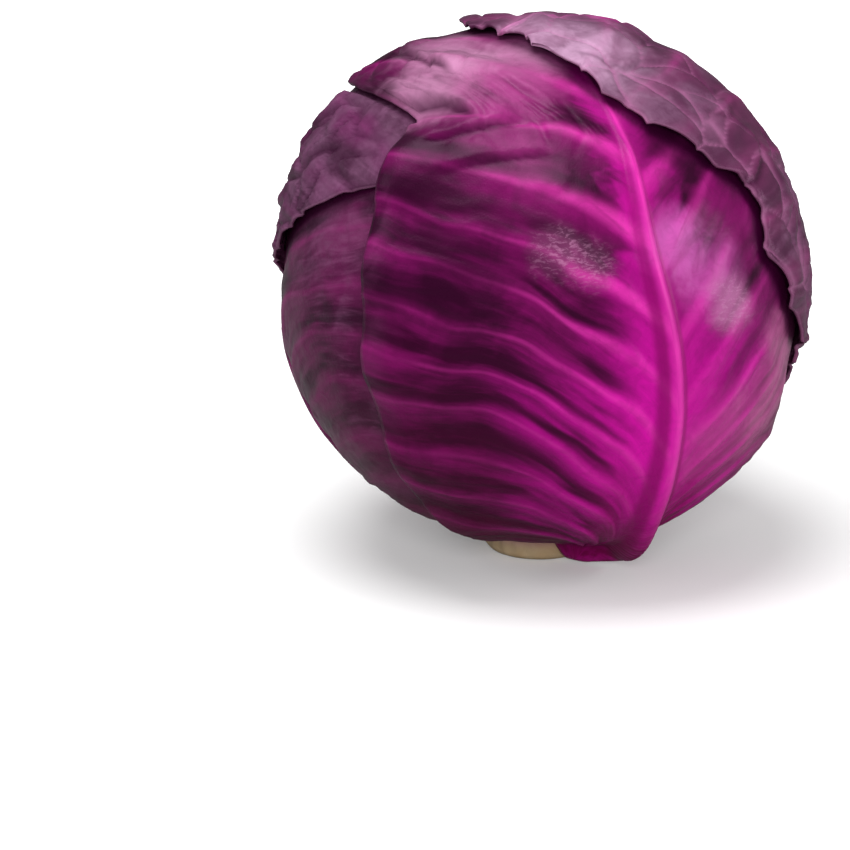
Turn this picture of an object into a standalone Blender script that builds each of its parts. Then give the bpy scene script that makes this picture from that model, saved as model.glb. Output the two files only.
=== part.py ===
"""A whole red cabbage head, standing on its cut stem.

Six wrapper leaves lie over a tight inner head, each one a thin shell with a stout midrib and arching
side veins. All of them grow from one tapering stem whose cut end is the flat spot that the head rests on.
Units are metres, +Z is up, and the origin is the centre of the cut face of the stem.

A leaf is drawn in a flat chart that is centred on its own middle: x runs across the leaf and y runs from
the stem to the tip, both as angles seen from the middle of the head. The chart is then wrapped on the head.
Azimuths turn from the front (-Y) towards the right (+X), and latitudes rise from the widest level.
"""

import math
from dataclasses import dataclass, field

import bmesh
import bpy
import numpy as np
from mathutils import Matrix
from mathutils.bvhtree import BVHTree

# Driving dimensions
BODY_RADIUS = 0.0765
BODY_CENTRE_HEIGHT = 0.0822
BLADE = 0.0010
GAP = 0.0006
FADE = 0.014
MARGIN_CLEARANCE = 0.004
FOOT_DIMPLE = 0.0045
FOOT_DIMPLE_WIDTH = math.radians(30)
SWELLS = [
    # azimuth and latitude in degrees, height, width
    (-102, 38, 0.0042, math.radians(25)),
    (84, -10, -0.0024, math.radians(18)),
    (20, 80, -0.0024, math.radians(38)),
]

RIB_BASE_HEIGHT = 0.0062
RIB_TIP_HEIGHT = 0.0007
RIB_BASE_HALF_WIDTH = 0.0105
RIB_TIP_HALF_WIDTH = 0.0026
RIB_SWELL_WIDTH = 1.9
RIB_PRESSED = 0.65
SIDE_VEIN_HEIGHT = 0.0015
MARGIN_WAVES = 7

STEM_RADIUS = 0.0165
STEM_SHOULDER_RADIUS = 0.0175
STEM_NECK_RADIUS = 0.0150
CORE_TIP_RADIUS = 0.0085
CORE_TOP = 0.070
CORE_CLEARANCE = 0.0005
LEAF_BASE_LATITUDE = -76.2

# Mesh fineness
ROWS_PER_VEIN = 2
CROSS_STEPS = (0.0, 0.035, 0.08, 0.15, 0.26, 0.40, 0.56, 0.73, 0.88, 1.0)
HIDDEN_CROSS_STEPS = (0.0, 0.045, 0.10, 0.22, 0.42, 0.66, 0.85, 1.0)
BASE_BEARING = math.radians(175)
TIP_BEARING = math.radians(12)


@dataclass
class Leaf:
    """A wrapper leaf: where its midrib climbs the head, and where its margin lies."""

    name: str
    rib_azimuth: float
    middle_latitude: float
    margin: list
    veins: int = 12
    lift: float = 0.0016
    scallop: float = 0.0
    rib_bend: float = 0.0
    rib_bulge: float = 0.0
    cross_steps: tuple = CROSS_STEPS
    colour: tuple = (0.16, 0.02, 0.11)
    corners: list = field(default_factory=list)


def round_margin(latitude, half_width, tip_reach):
    """A plain round margin, as (bearing, reach) in degrees, for a leaf that others mostly cover."""
    base_reach = latitude - LEAF_BASE_LATITUDE
    sides = [(b, half_width) for b in (50, 95, 130)]
    base = [(158, 0.5 * (base_reach + half_width)), (180, base_reach)]
    return [(0, tip_reach)] + sides + base + [(-b, r) for b, r in sides + base[:1]]


# Leaves from the innermost to the outermost. A margin point is (azimuth, latitude) on the head.
BACK_LEAF = Leaf("back_leaf", 172, 8, [], veins=10, lift=0.0006)
LEFT_LEAF = Leaf("left_leaf", -92, 4, [], rib_bend=4)
RIGHT_LEAF = Leaf("right_leaf", 78, 6, [], veins=8, lift=0.0, cross_steps=HIDDEN_CROSS_STEPS)
SHOULDER_LEAF = Leaf(
    "shoulder_leaf", -142, 16,
    [(-112, -75.5), (-104, -66), (-102, -44), (-101, -18), (-98, 2), (-90, 8), (-80, 15), (-70, 22),
     (-57, 29), (-43, 35), (-33, 43), (-20, 62), (60, 80), (135, 68), (155, 48), (168, 28), (178, 8),
     (-176, -12), (-174, -34), (-175, -62), (-171, -75.5)],
)
FRONT_LEAF = Leaf(
    "front_leaf", 28, 8,
    [(-8, -75.5), (-24, -66), (-33, -48), (-36, -28), (-38, -8), (-39, 10), (-40, 20), (-41, 31),
     (-42, 40), (-44, 47), (-50, 51), (-82, 50), (-98, 47), (-112, 51), (-124, 59), (-136, 69),
     (160, 78), (114, 66), (106, 44), (104, 20), (101, -5), (97, -28), (90, -48), (80, -64), (62, -75.5)],
    veins=14, rib_bend=14, rib_bulge=0.003,
)
CAP_LEAF = Leaf(
    "cap_leaf", 125, 12,
    [(108, -75.5), (101, -62), (96, -46), (93, -31), (87, -18), (78, -10), (69, -4), (64, 3), (60, 10),
     (57, 17), (60, 27), (53, 35), (45, 42), (35, 51), (26, 60), (14, 71), (-30, 80), (-120, 70),
     (-148, 61), (-168, 45), (180, 26), (175, 6), (170, -14), (164, -34), (158, -54), (156, -66),
     (154, -75.5)],
    scallop=0.0013,
)
BACK_LEAF.corners = round_margin(8, 70, 84)
LEFT_LEAF.corners = round_margin(4, 72, 80)
RIGHT_LEAF.corners = round_margin(6, 68, 78)
LEAVES = [BACK_LEAF, LEFT_LEAF, RIGHT_LEAF, SHOULDER_LEAF, FRONT_LEAF, CAP_LEAF]


def on_head(azimuth, latitude):
    """Unit vector towards a place on the head, from its azimuth and latitude in degrees."""
    azimuth, latitude = np.radians(azimuth), np.radians(latitude)
    return np.stack(
        [np.cos(latitude) * np.sin(azimuth), -np.cos(latitude) * np.cos(azimuth), np.sin(latitude)], -1
    )


def leaf_axes(leaf):
    """The leaf's middle, its direction across and its direction towards the tip."""
    middle = on_head(leaf.rib_azimuth, leaf.middle_latitude)
    across = on_head(leaf.rib_azimuth + 90, 0)
    return middle, across, np.cross(middle, across)


def chart_of(leaf, direction):
    """Chart position (x, y) of a direction, as angles from the leaf's middle."""
    middle, across, tipwards = leaf_axes(leaf)
    reach = np.arccos(np.clip(direction @ middle, -1, 1))
    side, rise = direction @ across, direction @ tipwards
    spread = np.maximum(np.hypot(side, rise), 1e-9)
    return reach * side / spread, reach * rise / spread


def direction_of(leaf, x, y):
    """Unit vector of a chart position."""
    middle, across, tipwards = leaf_axes(leaf)
    reach = np.maximum(np.hypot(x, y), 1e-9)
    side = np.sin(reach) * x / reach
    rise = np.sin(reach) * y / reach
    return np.cos(reach)[..., None] * middle + side[..., None] * across + rise[..., None] * tipwards


def margin_corners(leaf):
    """The margin as sorted (bearing, reach), in radians, where bearing 0 is the tip and pi the base."""
    if leaf.corners:
        pairs = np.radians(np.array(leaf.corners, float))
    else:
        points = np.array(leaf.margin + [(leaf.rib_azimuth, LEAF_BASE_LATITUDE)], float)
        x, y = chart_of(leaf, on_head(points[:, 0], points[:, 1]))
        pairs = np.stack([np.arctan2(x, y), np.hypot(x, y)], -1)
    return pairs[np.argsort(pairs[:, 0])]


def margin_reach(leaf, bearing):
    """Smooth reach of the margin at a bearing: a cubic through the corners, round the full turn."""
    corners = margin_corners(leaf)
    turn = 2 * math.pi
    angles = np.concatenate([corners[-2:, 0] - turn, corners[:, 0], corners[:2, 0] + turn])
    reaches = np.concatenate([corners[-2:, 1], corners[:, 1], corners[:2, 1]])
    slopes = np.gradient(reaches, angles)
    k = np.clip(np.searchsorted(angles, bearing) - 1, 0, len(angles) - 2)
    step = angles[k + 1] - angles[k]
    q = (bearing - angles[k]) / step
    return (
        (1 + 2 * q) * (1 - q) ** 2 * reaches[k]
        + q * (1 - q) ** 2 * step * slopes[k]
        + q * q * (3 - 2 * q) * reaches[k + 1]
        + q * q * (q - 1) * step * slopes[k + 1]
    )


def smooth_step(value):
    value = np.clip(value, 0, 1)
    return value * value * (3 - 2 * value)


def body_radius(direction):
    """The packed head under the leaves: round, a little lumpy, and hollowed where the stem leaves it."""
    x, y, z = direction[..., 0], direction[..., 1], direction[..., 2]
    lumps = (
        0.010 * np.sin(2.9 * x + 1.3 * y + 0.6)
        + 0.008 * np.sin(3.1 * y - 2.0 * z + 1.9)
        + 0.006 * np.sin(4.3 * z + 2.2 * x - 0.4)
    )
    from_foot = np.arccos(np.clip(-z, -1, 1))
    radius = BODY_RADIUS * (1 + lumps) - FOOT_DIMPLE * np.exp(-((from_foot / FOOT_DIMPLE_WIDTH) ** 2))
    for azimuth, latitude, height, width in SWELLS:
        apart = np.arccos(np.clip(direction @ on_head(azimuth, latitude), -1, 1))
        radius = radius + height * np.exp(-((apart / width) ** 2))
    return radius


def rib_progress(leaf, y):
    """0 at the base of the midrib and 1 at its tip."""
    base, tip = margin_reach(leaf, np.array([math.pi, 0.0]))
    return np.clip((y + base) / (base + tip), 0, 1)


def rib_line(leaf, y):
    """Sideways place of the midrib, in radians. It leaves the stem a little aside and swings back."""
    along = rib_progress(leaf, y)
    start = np.exp(-along / 0.15) * smooth_step(along / 0.06)
    bow = 0.25 * np.exp(-(((along - 0.55) / 0.12) ** 2))
    return math.radians(leaf.rib_bend) * (start - bow)


def rib_size(leaf, y):
    """Height and half width of the midrib at y."""
    along = rib_progress(leaf, y)
    taper = (1 - along) ** 1.6
    height = RIB_TIP_HEIGHT + (RIB_BASE_HEIGHT - RIB_TIP_HEIGHT) * taper
    height = height + leaf.rib_bulge * np.exp(-(((along - 0.09) / 0.07) ** 2))
    half_width = RIB_TIP_HALF_WIDTH + (RIB_BASE_HALF_WIDTH - RIB_TIP_HALF_WIDTH) * (1 - along) ** 1.3
    return height, half_width


def rib_height(leaf, x, y, wider=1.0):
    """Height of the midrib over the blade, as a rounded ridge."""
    height, half_width = rib_size(leaf, y)
    aside = (x - rib_line(leaf, y)) * BODY_RADIUS / (half_width * wider)
    return height * np.exp(-(aside**2) * 1.6)


def cover(leaf, direction):
    """1 where the leaf lies, fading to 0 outside its margin, so that outer leaves drape over its edge."""
    x, y = chart_of(leaf, direction)
    beyond = (np.hypot(x, y) - margin_reach(leaf, np.arctan2(x, y))) * BODY_RADIUS
    return 1 - smooth_step((beyond - MARGIN_CLEARANCE) / FADE)


def layers_below(index, direction):
    """How far the leaf at this index is held off the packed head by the leaves under it."""
    total = np.zeros(direction.shape[:-1])
    for leaf in LEAVES[:index]:
        x, y = chart_of(leaf, direction)
        swell = (1 - RIB_PRESSED) * rib_height(leaf, x, y, RIB_SWELL_WIDTH)
        total += cover(leaf, direction) * (BLADE + GAP + swell)
    return total


def pressed(index, direction):
    """1 where a leaf further out lies on this one and presses its veins and margin flat."""
    most = np.zeros(direction.shape[:-1])
    for leaf in LEAVES[index + 1 :]:
        most = np.maximum(most, cover(leaf, direction))
    return most


def leaf_chart(leaf, across, along):
    """Chart position of a point of the leaf: across is -1 to 1 from margin to margin, along is 0 to 1.

    A row of constant along is the path of a side vein: it leaves the midrib at a sharp angle, arches over
    and ends at the margin.
    """
    base, tip = margin_reach(leaf, np.array([math.pi, 0.0]))
    bearing = BASE_BEARING - (BASE_BEARING - TIP_BEARING) * along**0.82
    side = np.where(across < 0, -1.0, 1.0)
    reach = margin_reach(leaf, side * bearing)
    scallops = np.where((along > 0.1) & (along < 0.95), leaf.scallop / BODY_RADIUS, 0.0)
    reach = reach + scallops * np.cos(math.pi * along * leaf.veins * ROWS_PER_VEIN)
    start_y = -base + (base + tip) * along**1.8
    start_x = rib_line(leaf, start_y)
    end_x, end_y = side * reach * np.sin(bearing), reach * np.cos(bearing)
    chord = np.hypot(end_x - start_x, end_y - start_y)
    lean = np.arctan((rib_line(leaf, start_y + 0.01) - rib_line(leaf, start_y - 0.01)) / 0.02)
    leave = lean + side * np.radians(20 + 66 * along**3)
    lead = 0.48 * chord
    control_x = start_x + lead * np.sin(leave)
    control_y = start_y + lead * np.cos(leave) * smooth_step(along / 0.12)
    q = np.abs(across)
    x = (1 - q) ** 2 * start_x + 2 * q * (1 - q) * control_x + q * q * end_x
    y = (1 - q) ** 2 * start_y + 2 * q * (1 - q) * control_y + q * q * end_y
    return x, y


def side_vein_height(leaf, across, along):
    """Ridges that run out along the rows and fade towards the margin, the base and the tip."""
    crest = 0.5 - 0.5 * np.cos(2 * math.pi * along * leaf.veins)
    fade = np.exp(-((np.abs(across) / 0.75) ** 2)) * smooth_step(np.abs(across) / 0.24)
    ends = smooth_step(along / 0.12) * smooth_step((1 - along) / 0.15)
    return SIDE_VEIN_HEIGHT * crest * fade * ends


def margin_lift(leaf, across, along):
    """The free margin stands off in soft waves."""
    edge = smooth_step((np.abs(across) - 0.62) / 0.38) * smooth_step(along / 0.25)
    wave = 0.5 + 0.5 * np.sin(2 * math.pi * along * MARGIN_WAVES + leaf.rib_azimuth)
    return leaf.lift * edge * wave


def leaf_surface(index, across, along):
    """Inner face and outer face of the leaf, as radii, and the direction that they are measured in."""
    leaf = LEAVES[index]
    x, y = leaf_chart(leaf, across, along)
    direction = direction_of(leaf, x, y)
    free = 1 - pressed(index, direction)
    inner = body_radius(direction) + layers_below(index, direction)
    inner = inner + free * margin_lift(leaf, across, along)
    shoulder = 1 - 0.8 * smooth_step((np.abs(across) - 0.45) / 0.55)
    rib = rib_height(leaf, x, y) * (1 - RIB_PRESSED * (1 - free)) * shoulder
    thickness = BLADE + rib + free * side_vein_height(leaf, across, along)
    return direction, inner, thickness


def barycentric_spread(steps):
    """Evenly spread places in and just round a triangle, as weights of its three corners."""
    places = [(i, j, steps - i - j) for i in range(steps + 1) for j in range(steps + 1 - i)]
    return 1 / 3 + 1.3 * (np.array(places, float) / steps - 1 / 3)


def lifted_clear(points, triangles, below):
    """Radial lift of an inner face until its whole facets stand a gap above the pieces under it."""
    spread = barycentric_spread(6)
    lift = np.zeros(len(points))
    centre = np.array((0, 0, BODY_CENTRE_HEIGHT))
    reach = 2 * BODY_RADIUS
    for _ in range(12):
        raised = points + lift[:, None] * (points - centre) / np.linalg.norm(points - centre, axis=1)[:, None]
        samples = np.einsum("sk,tkc->tsc", spread, raised[triangles]) - centre
        radii = np.linalg.norm(samples, axis=2)
        wanted = np.zeros(len(points))
        for corners, row, distances in zip(triangles, samples, radii):
            for weights, sample, radius in zip(spread, row, distances):
                out = sample / radius
                hit = below.ray_cast(centre + out * reach, -out, reach)
                if hit[0] is None:
                    continue
                short = GAP - (radius + hit[3] - reach)
                if short > 0:
                    share = np.clip(1.6 * weights, 0, 1) * short
                    wanted[corners] = np.maximum(wanted[corners], share)
        if wanted.max() < 0.00002:
            break
        lift += wanted
    return lift


def material(name, colour, roughness):
    """A Principled finish with the plain colour of the sub-part."""
    made = bpy.data.materials.new(name)
    made.use_nodes = True
    shader = made.node_tree.nodes["Principled BSDF"]
    shader.inputs["Base Color"].default_value = (*colour, 1.0)
    shader.inputs["Roughness"].default_value = roughness
    shader.inputs["Metallic"].default_value = 0.0
    return made


def add_object(name, mesh, collection, finish):
    made = bpy.data.objects.new(name, mesh)
    mesh.materials.append(finish)
    collection.objects.link(made)
    return made


def tree_of(pieces):
    """Search tree over the finished surfaces of some objects."""
    graph = bpy.context.evaluated_depsgraph_get()
    points, faces = [], []
    for piece in pieces:
        mesh = piece.evaluated_get(graph).to_mesh()
        mesh.calc_loop_triangles()
        start = len(points)
        points.extend(vertex.co[:] for vertex in mesh.vertices)
        faces.extend([start + corner for corner in part.vertices] for part in mesh.loop_triangles)
    return BVHTree.FromPolygons(points, faces)


def make_leaf(index, collection, below):
    """The inner face is a grid wrapped on the head, and Solidify grows it outwards by a weight per vertex."""
    leaf = LEAVES[index]
    steps = np.array(leaf.cross_steps)
    columns = np.concatenate([-steps[:0:-1], steps])
    rows = np.linspace(0, 1, leaf.veins * ROWS_PER_VEIN + 1)
    shape = bmesh.new()
    bmesh.ops.create_grid(shape, x_segments=len(columns) - 1, y_segments=len(rows) - 1, size=1.0)
    shape.verts.ensure_lookup_table()
    flat = np.array([v.co[:2] for v in shape.verts])
    column = np.rint((flat[:, 0] + 1) / 2 * (len(columns) - 1)).astype(int)
    row = np.rint((flat[:, 1] + 1) / 2 * (len(rows) - 1)).astype(int)
    direction, inner, thickness = leaf_surface(index, columns[column], rows[row])
    places = direction * inner[:, None] + (0, 0, BODY_CENTRE_HEIGHT)
    for vertex, place in zip(shape.verts, places):
        vertex.co = place
    bmesh.ops.triangulate(shape, faces=shape.faces, quad_method="SHORT_EDGE")
    triangles = np.array([[corner.index for corner in face.verts] for face in shape.faces])
    lift = lifted_clear(places, triangles, tree_of(below))
    for vertex, place, outwards, rise in zip(shape.verts, places, direction, lift):
        vertex.co = place + outwards * rise
    mesh = bpy.data.meshes.new(leaf.name)
    shape.to_mesh(mesh)
    shape.free()
    mesh.shade_smooth()
    made = add_object(leaf.name, mesh, collection, material(leaf.name, leaf.colour, 0.42))

    thickest = float(thickness.max())
    weights = made.vertex_groups.new(name="thickness")
    for vertex, share in enumerate(thickness / thickest):
        weights.add([vertex], float(share), "REPLACE")
    shell = made.modifiers.new("thickness", "SOLIDIFY")
    shell.thickness = thickest
    shell.offset = 1.0
    shell.vertex_group = weights.name
    shell.thickness_vertex_group = 0.0
    shell.use_rim = True
    return made


def turned(name, profile, collection, finish, steps=28):
    """A solid turned about +Z from a profile of (radius, height) that runs down its outer side."""
    shape = bmesh.new()
    points = [shape.verts.new((radius, 0, height)) for radius, height in profile]
    for first, second in zip(points, points[1:]):
        shape.edges.new((first, second))
    mesh = bpy.data.meshes.new(name)
    shape.to_mesh(mesh)
    shape.free()
    made = add_object(name, mesh, collection, finish)
    spin = made.modifiers.new("turn", "SCREW")
    spin.steps = steps
    spin.render_steps = steps
    spin.use_merge_vertices = True
    spin.merge_threshold = 0.00005
    return made


def stem_profile(clearance=0.0):
    """Cut foot, a shoulder that the leaves grow from, and the core that tapers up into the head."""
    core_tip = CORE_TOP + clearance
    dome = [
        (math.sin(a) * (CORE_TIP_RADIUS + clearance), core_tip - (1 - math.cos(a)) * CORE_TIP_RADIUS)
        for a in np.radians((0, 30, 60, 90))
    ]
    return dome + [
        (STEM_NECK_RADIUS + clearance, 0.018),
        (STEM_NECK_RADIUS + clearance, 0.011),
        (STEM_SHOULDER_RADIUS + clearance, 0.006),
        (STEM_SHOULDER_RADIUS + clearance, 0.0025),
        (STEM_RADIUS + clearance, 0.0),
    ]


def make_stem(collection):
    finish = material("stem", (0.78, 0.70, 0.52), 0.6)
    return turned("stem", stem_profile() + [(0.0, 0.0)], collection, finish)


def make_inner_head(collection, cutters):
    """The tight leaves in the middle, as one packed body, with the space that the core fills."""
    bpy.ops.mesh.primitive_ico_sphere_add(subdivisions=4, radius=1.0)
    head = bpy.context.object
    head.name = head.data.name = "inner_head"
    for owner in list(head.users_collection):
        owner.objects.unlink(head)
    collection.objects.link(head)
    head.data.materials.append(material("inner_head", (0.30, 0.05, 0.22), 0.5))
    for vertex in head.data.vertices:
        direction = np.array(vertex.co.normalized())
        vertex.co = direction * (body_radius(direction) - GAP)
    head.data.transform(Matrix.Translation((0, 0, BODY_CENTRE_HEIGHT)))
    head.data.shade_smooth()

    below = -0.010
    profile = stem_profile(CORE_CLEARANCE)
    profile[-1] = (profile[-1][0], below)
    cutter = turned("core_space", profile + [(0.0, below)], cutters, material("cutter", (1, 1, 1), 1.0))
    cutter.hide_render = True
    cutter.display_type = "WIRE"
    cut = head.modifiers.new("core space", "BOOLEAN")
    cut.operation = "DIFFERENCE"
    cut.solver = "EXACT"
    cut.object = cutter
    return head


def clear_scene():
    for old in list(bpy.data.objects):
        bpy.data.objects.remove(old, do_unlink=True)


def new_collection(name):
    made = bpy.data.collections.new(name)
    bpy.context.scene.collection.children.link(made)
    return made


def main():
    clear_scene()
    cabbage = new_collection("red_cabbage")
    cutters = new_collection("cutters")
    make_stem(cabbage)
    below = [make_inner_head(cabbage, cutters)]
    for index in range(len(LEAVES)):
        below.append(make_leaf(index, cabbage, below))


main()
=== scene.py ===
# %% [markdown]
# # A red cabbage, leaf by leaf
# A red cabbage is a ball of leaves that grow from one stem. The outer ones are waxy shells under a
# millimetre thick. Each has a stout midrib, side veins that rise along it like a fountain before they
# turn outwards, and a free margin that lies on the leaf beneath.
#
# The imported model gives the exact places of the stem, the inner head and six wrapper leaves. This
# script lays a finer leaf over each of them and gives it veins, folds, wax and colour.

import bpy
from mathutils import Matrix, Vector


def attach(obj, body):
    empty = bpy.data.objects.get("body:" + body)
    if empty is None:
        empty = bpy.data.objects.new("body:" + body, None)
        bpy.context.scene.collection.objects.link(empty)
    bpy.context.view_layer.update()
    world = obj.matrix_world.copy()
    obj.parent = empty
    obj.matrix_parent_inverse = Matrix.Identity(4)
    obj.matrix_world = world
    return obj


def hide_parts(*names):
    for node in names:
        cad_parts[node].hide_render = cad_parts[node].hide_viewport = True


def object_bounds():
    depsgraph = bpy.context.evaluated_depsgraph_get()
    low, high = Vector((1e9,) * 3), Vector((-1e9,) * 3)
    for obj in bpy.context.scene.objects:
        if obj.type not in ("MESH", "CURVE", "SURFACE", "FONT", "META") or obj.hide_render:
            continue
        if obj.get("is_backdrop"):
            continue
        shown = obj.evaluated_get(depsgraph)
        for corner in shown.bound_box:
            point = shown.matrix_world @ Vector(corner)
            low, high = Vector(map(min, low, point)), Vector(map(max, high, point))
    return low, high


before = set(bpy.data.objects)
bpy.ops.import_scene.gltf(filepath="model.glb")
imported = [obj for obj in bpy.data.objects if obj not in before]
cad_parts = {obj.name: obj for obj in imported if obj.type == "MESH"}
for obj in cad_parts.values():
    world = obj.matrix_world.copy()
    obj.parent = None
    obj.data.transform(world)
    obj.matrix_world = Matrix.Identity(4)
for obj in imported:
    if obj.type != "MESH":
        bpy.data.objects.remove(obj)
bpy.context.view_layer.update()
print("nodes:", sorted(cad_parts))

# %% Names for the tools
import math
from dataclasses import dataclass, field

import bpy
import numpy as np
from mathutils import Vector
from mathutils.kdtree import KDTree

scene = bpy.context.scene
print("Blender", bpy.app.version_string)

# %% [markdown]
# ## A small writer for node trees
# Materials and Geometry Nodes are both trees of nodes, and long lists of nodes and links hide what a tree
# does. A small writer lets each line of this script read as one step of arithmetic instead.

# %% A small writer for node trees
SOCKET_KINDS = {
    "number": "NodeSocketFloat", "count": "NodeSocketInt", "vector": "NodeSocketVector",
    "geometry": "NodeSocketGeometry", "material": "NodeSocketMaterial",
}


class Writer:
    """Adds nodes to a tree with few words. Numbers and sockets are both welcome as inputs."""

    def __init__(self, tree):
        self.tree = tree

    def node(self, kind, **settings):
        made = self.tree.nodes.new(kind)
        for key, value in settings.items():
            setattr(made, key, value)
        return made

    def put(self, socket, value):
        if isinstance(value, bpy.types.NodeSocket):
            self.tree.links.new(value, socket)
        else:
            socket.default_value = value

    def fill(self, node, **values):
        """Sets inputs of a node by their names, with _ for a space, and returns its outputs."""
        for key, value in values.items():
            self.put(node.inputs[key.replace("_", " ")], value)
        return node.outputs

    def math(self, operation, *values, clamp=False):
        made = self.node("ShaderNodeMath", operation=operation, use_clamp=clamp)
        for socket, value in zip(made.inputs, values):
            self.put(socket, value)
        return made.outputs[0]

    def times(self, first, second):
        return self.math("MULTIPLY", first, second)

    def vector(self, operation, *values):
        made = self.node("ShaderNodeVectorMath", operation=operation)
        for socket, value in zip(made.inputs, values):
            self.put(socket, value)
        return made.outputs["Value" if operation in ("LENGTH", "DISTANCE") else "Vector"]

    def scaled(self, vector, factor):
        return self.fill(self.node("ShaderNodeVectorMath", operation="SCALE"), Vector=vector, Scale=factor)[0]

    def ramp(self, value, low, high, start=0.0, end=1.0, shape="SMOOTHSTEP"):
        made = self.node("ShaderNodeMapRange", interpolation_type=shape)
        for socket, number in zip(made.inputs, (value, low, high, start, end)):
            self.put(socket, number)
        return made.outputs[0]

    def mix(self, share, first, second):
        made = self.node("ShaderNodeMix", data_type="RGBA", clamp_factor=True)
        for socket, value in zip((made.inputs[0], made.inputs[6], made.inputs[7]), (share, first, second)):
            self.put(socket, value)
        return made.outputs[2]

    def noise(self, place, scale, detail=2.0, roughness=0.5, distortion=0.0):
        made = self.node("ShaderNodeTexNoise")
        values = {"Detail": detail, "Roughness": roughness, "Distortion": distortion}
        return self.fill(made, Vector=place, Scale=scale, **values)[0]

    def attribute(self, name):
        return self.node("ShaderNodeAttribute", attribute_name=name).outputs["Fac"]

    def place(self):
        return self.node("ShaderNodeTexCoord").outputs["Object"]

    def group(self, tree, **values):
        return self.fill(self.node("ShaderNodeGroup", node_tree=tree), **values)

    def bump(self, height, strength, distance=0.0005):
        made = self.node("ShaderNodeBump")
        return self.fill(made, Height=height, Strength=strength, Distance=distance)[0]

    def finished(self, geometry, material):
        """The last two steps of a tree of Geometry Nodes: real mesh, then its material."""
        real = self.fill(self.node("GeometryNodeRealizeInstances"), Geometry=geometry)[0]
        return self.fill(self.node("GeometryNodeSetMaterial"), Geometry=real, Material=material)[0]


def new_group(name, inputs, outputs, kind="ShaderNodeTree"):
    """A node group with named sockets. Returns its writer, its inputs and its output node."""
    tree = bpy.data.node_groups.new(name, kind)
    for key, sort, value in inputs:
        socket = tree.interface.new_socket(key, in_out="INPUT", socket_type=SOCKET_KINDS[sort])
        if value is not None:
            socket.default_value = value
    for key, sort in outputs:
        tree.interface.new_socket(key, in_out="OUTPUT", socket_type=SOCKET_KINDS[sort])
    writer = Writer(tree)
    return writer, writer.node("NodeGroupInput").outputs, writer.node("NodeGroupOutput").inputs


def new_material(name):
    """A material with its writer and its Principled shader."""
    material = bpy.data.materials.new(name)
    material.use_nodes = True
    return material, Writer(material.node_tree), material.node_tree.nodes["Principled BSDF"]


print("writer ready for", sorted(SOCKET_KINDS))

# %% [markdown]
# ## Camera, floor and light
# The head is seen from a little above its widest level, through a long lens, so that it keeps its round
# outline. A shift of the lens places it right of the middle and high in the frame. The light is a bright
# white room with one broad lamp overhead, which lays a soft sheen on the shoulders of the head.

# %% Camera
HEAD_CENTRE = Vector((0.0015, 0.0, 0.0838))
CAMERA_ELEVATION = math.radians(15)
CAMERA_DISTANCE = 0.975
LENS = 135.0
FRAME_SHIFT = (-0.1406, -0.1660)

lens = bpy.data.cameras.new("camera")
lens.lens = LENS
lens.shift_x, lens.shift_y = FRAME_SHIFT
lens.clip_end = 50.0
camera = bpy.data.objects.new("camera", lens)
scene.collection.objects.link(camera)
view_line = Vector((0, -math.cos(CAMERA_ELEVATION), math.sin(CAMERA_ELEVATION)))
camera.location = HEAD_CENTRE + view_line * CAMERA_DISTANCE
camera.rotation_euler = (-view_line).to_track_quat("-Z", "Y").to_euler()
scene.camera = camera
print("camera stands", round(camera.location.length, 3), "m from the foot")

# %% Floor
FLOOR_REACH = 12.0
PAPER_AS_LIT, PAPER_AS_SEEN = 0.30, 0.90
SHADOW_ZONE = (0.12, 0.60)
PAPER_GLOW = (0.10, 0.80)

floor_mesh = bpy.data.meshes.new("floor")
floor_corners = [(x * FLOOR_REACH, y * FLOOR_REACH, 0) for x, y in ((-1, -1), (1, -1), (1, 1), (-1, 1))]
floor_mesh.from_pydata(floor_corners, [], [(0, 1, 2, 3)])
floor = bpy.data.objects.new("floor", floor_mesh)
scene.collection.objects.link(floor)

# The paper glows towards the camera, and more so away from the head, so that it stays white there.
paper, w, paper_shader = new_material("white_paper")
seen = w.node("ShaderNodeLightPath").outputs["Is Camera Ray"]
far = w.ramp(w.vector("LENGTH", w.place()), *SHADOW_ZONE, *PAPER_GLOW, shape="LINEAR")
w.fill(
    paper_shader,
    Base_Color=w.ramp(seen, 0.0, 1.0, PAPER_AS_LIT, PAPER_AS_SEEN, shape="LINEAR"),
    Roughness=0.9, Specular_IOR_Level=0.0,
    Emission_Color=(1, 1, 1, 1), Emission_Strength=w.times(seen, far),
)
floor_mesh.materials.append(paper)
floor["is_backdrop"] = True
print("floor:", FLOOR_REACH * 2, "m wide")

# %% Light
ROOM_LIGHT = 0.36
MIRRORED_LIGHT = 0.14
LAMPS = [
    # name, place, size, watts
    ("overhead", (-0.20, -0.10, 1.25), 0.9, 13.0),
    ("right_window", (1.25, -0.20, 0.40), 0.7, 7.5),
    ("left_window", (-1.30, -0.45, 0.85), 0.7, 4.0),
    ("front_fill", (0.05, -1.60, 0.60), 0.7, 16.0),
]

room = bpy.data.worlds.new("white_room")
room.use_nodes = True
w = Writer(room.node_tree)
path = w.node("ShaderNodeLightPath").outputs
room_level = w.ramp(path["Is Glossy Ray"], 0.0, 1.0, ROOM_LIGHT, MIRRORED_LIGHT, shape="LINEAR")
room_level = w.ramp(path["Is Camera Ray"], 0.0, 1.0, room_level, 1.0, shape="LINEAR")
w.fill(room.node_tree.nodes["Background"], Color=(1, 1, 1, 1), Strength=room_level)
scene.world = room
for name, place, size, watts in LAMPS:
    light = bpy.data.lights.new(name, "AREA")
    light.shape = "DISK"
    light.size = size
    light.energy = watts
    lamp = bpy.data.objects.new(name, light)
    lamp.location = place
    lamp.rotation_euler = (HEAD_CENTRE - lamp.location).to_track_quat("-Z", "Y").to_euler()
    lamp.visible_glossy = name != "front_fill"
    scene.collection.objects.link(lamp)
scene.view_settings.view_transform = "Standard"
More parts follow.
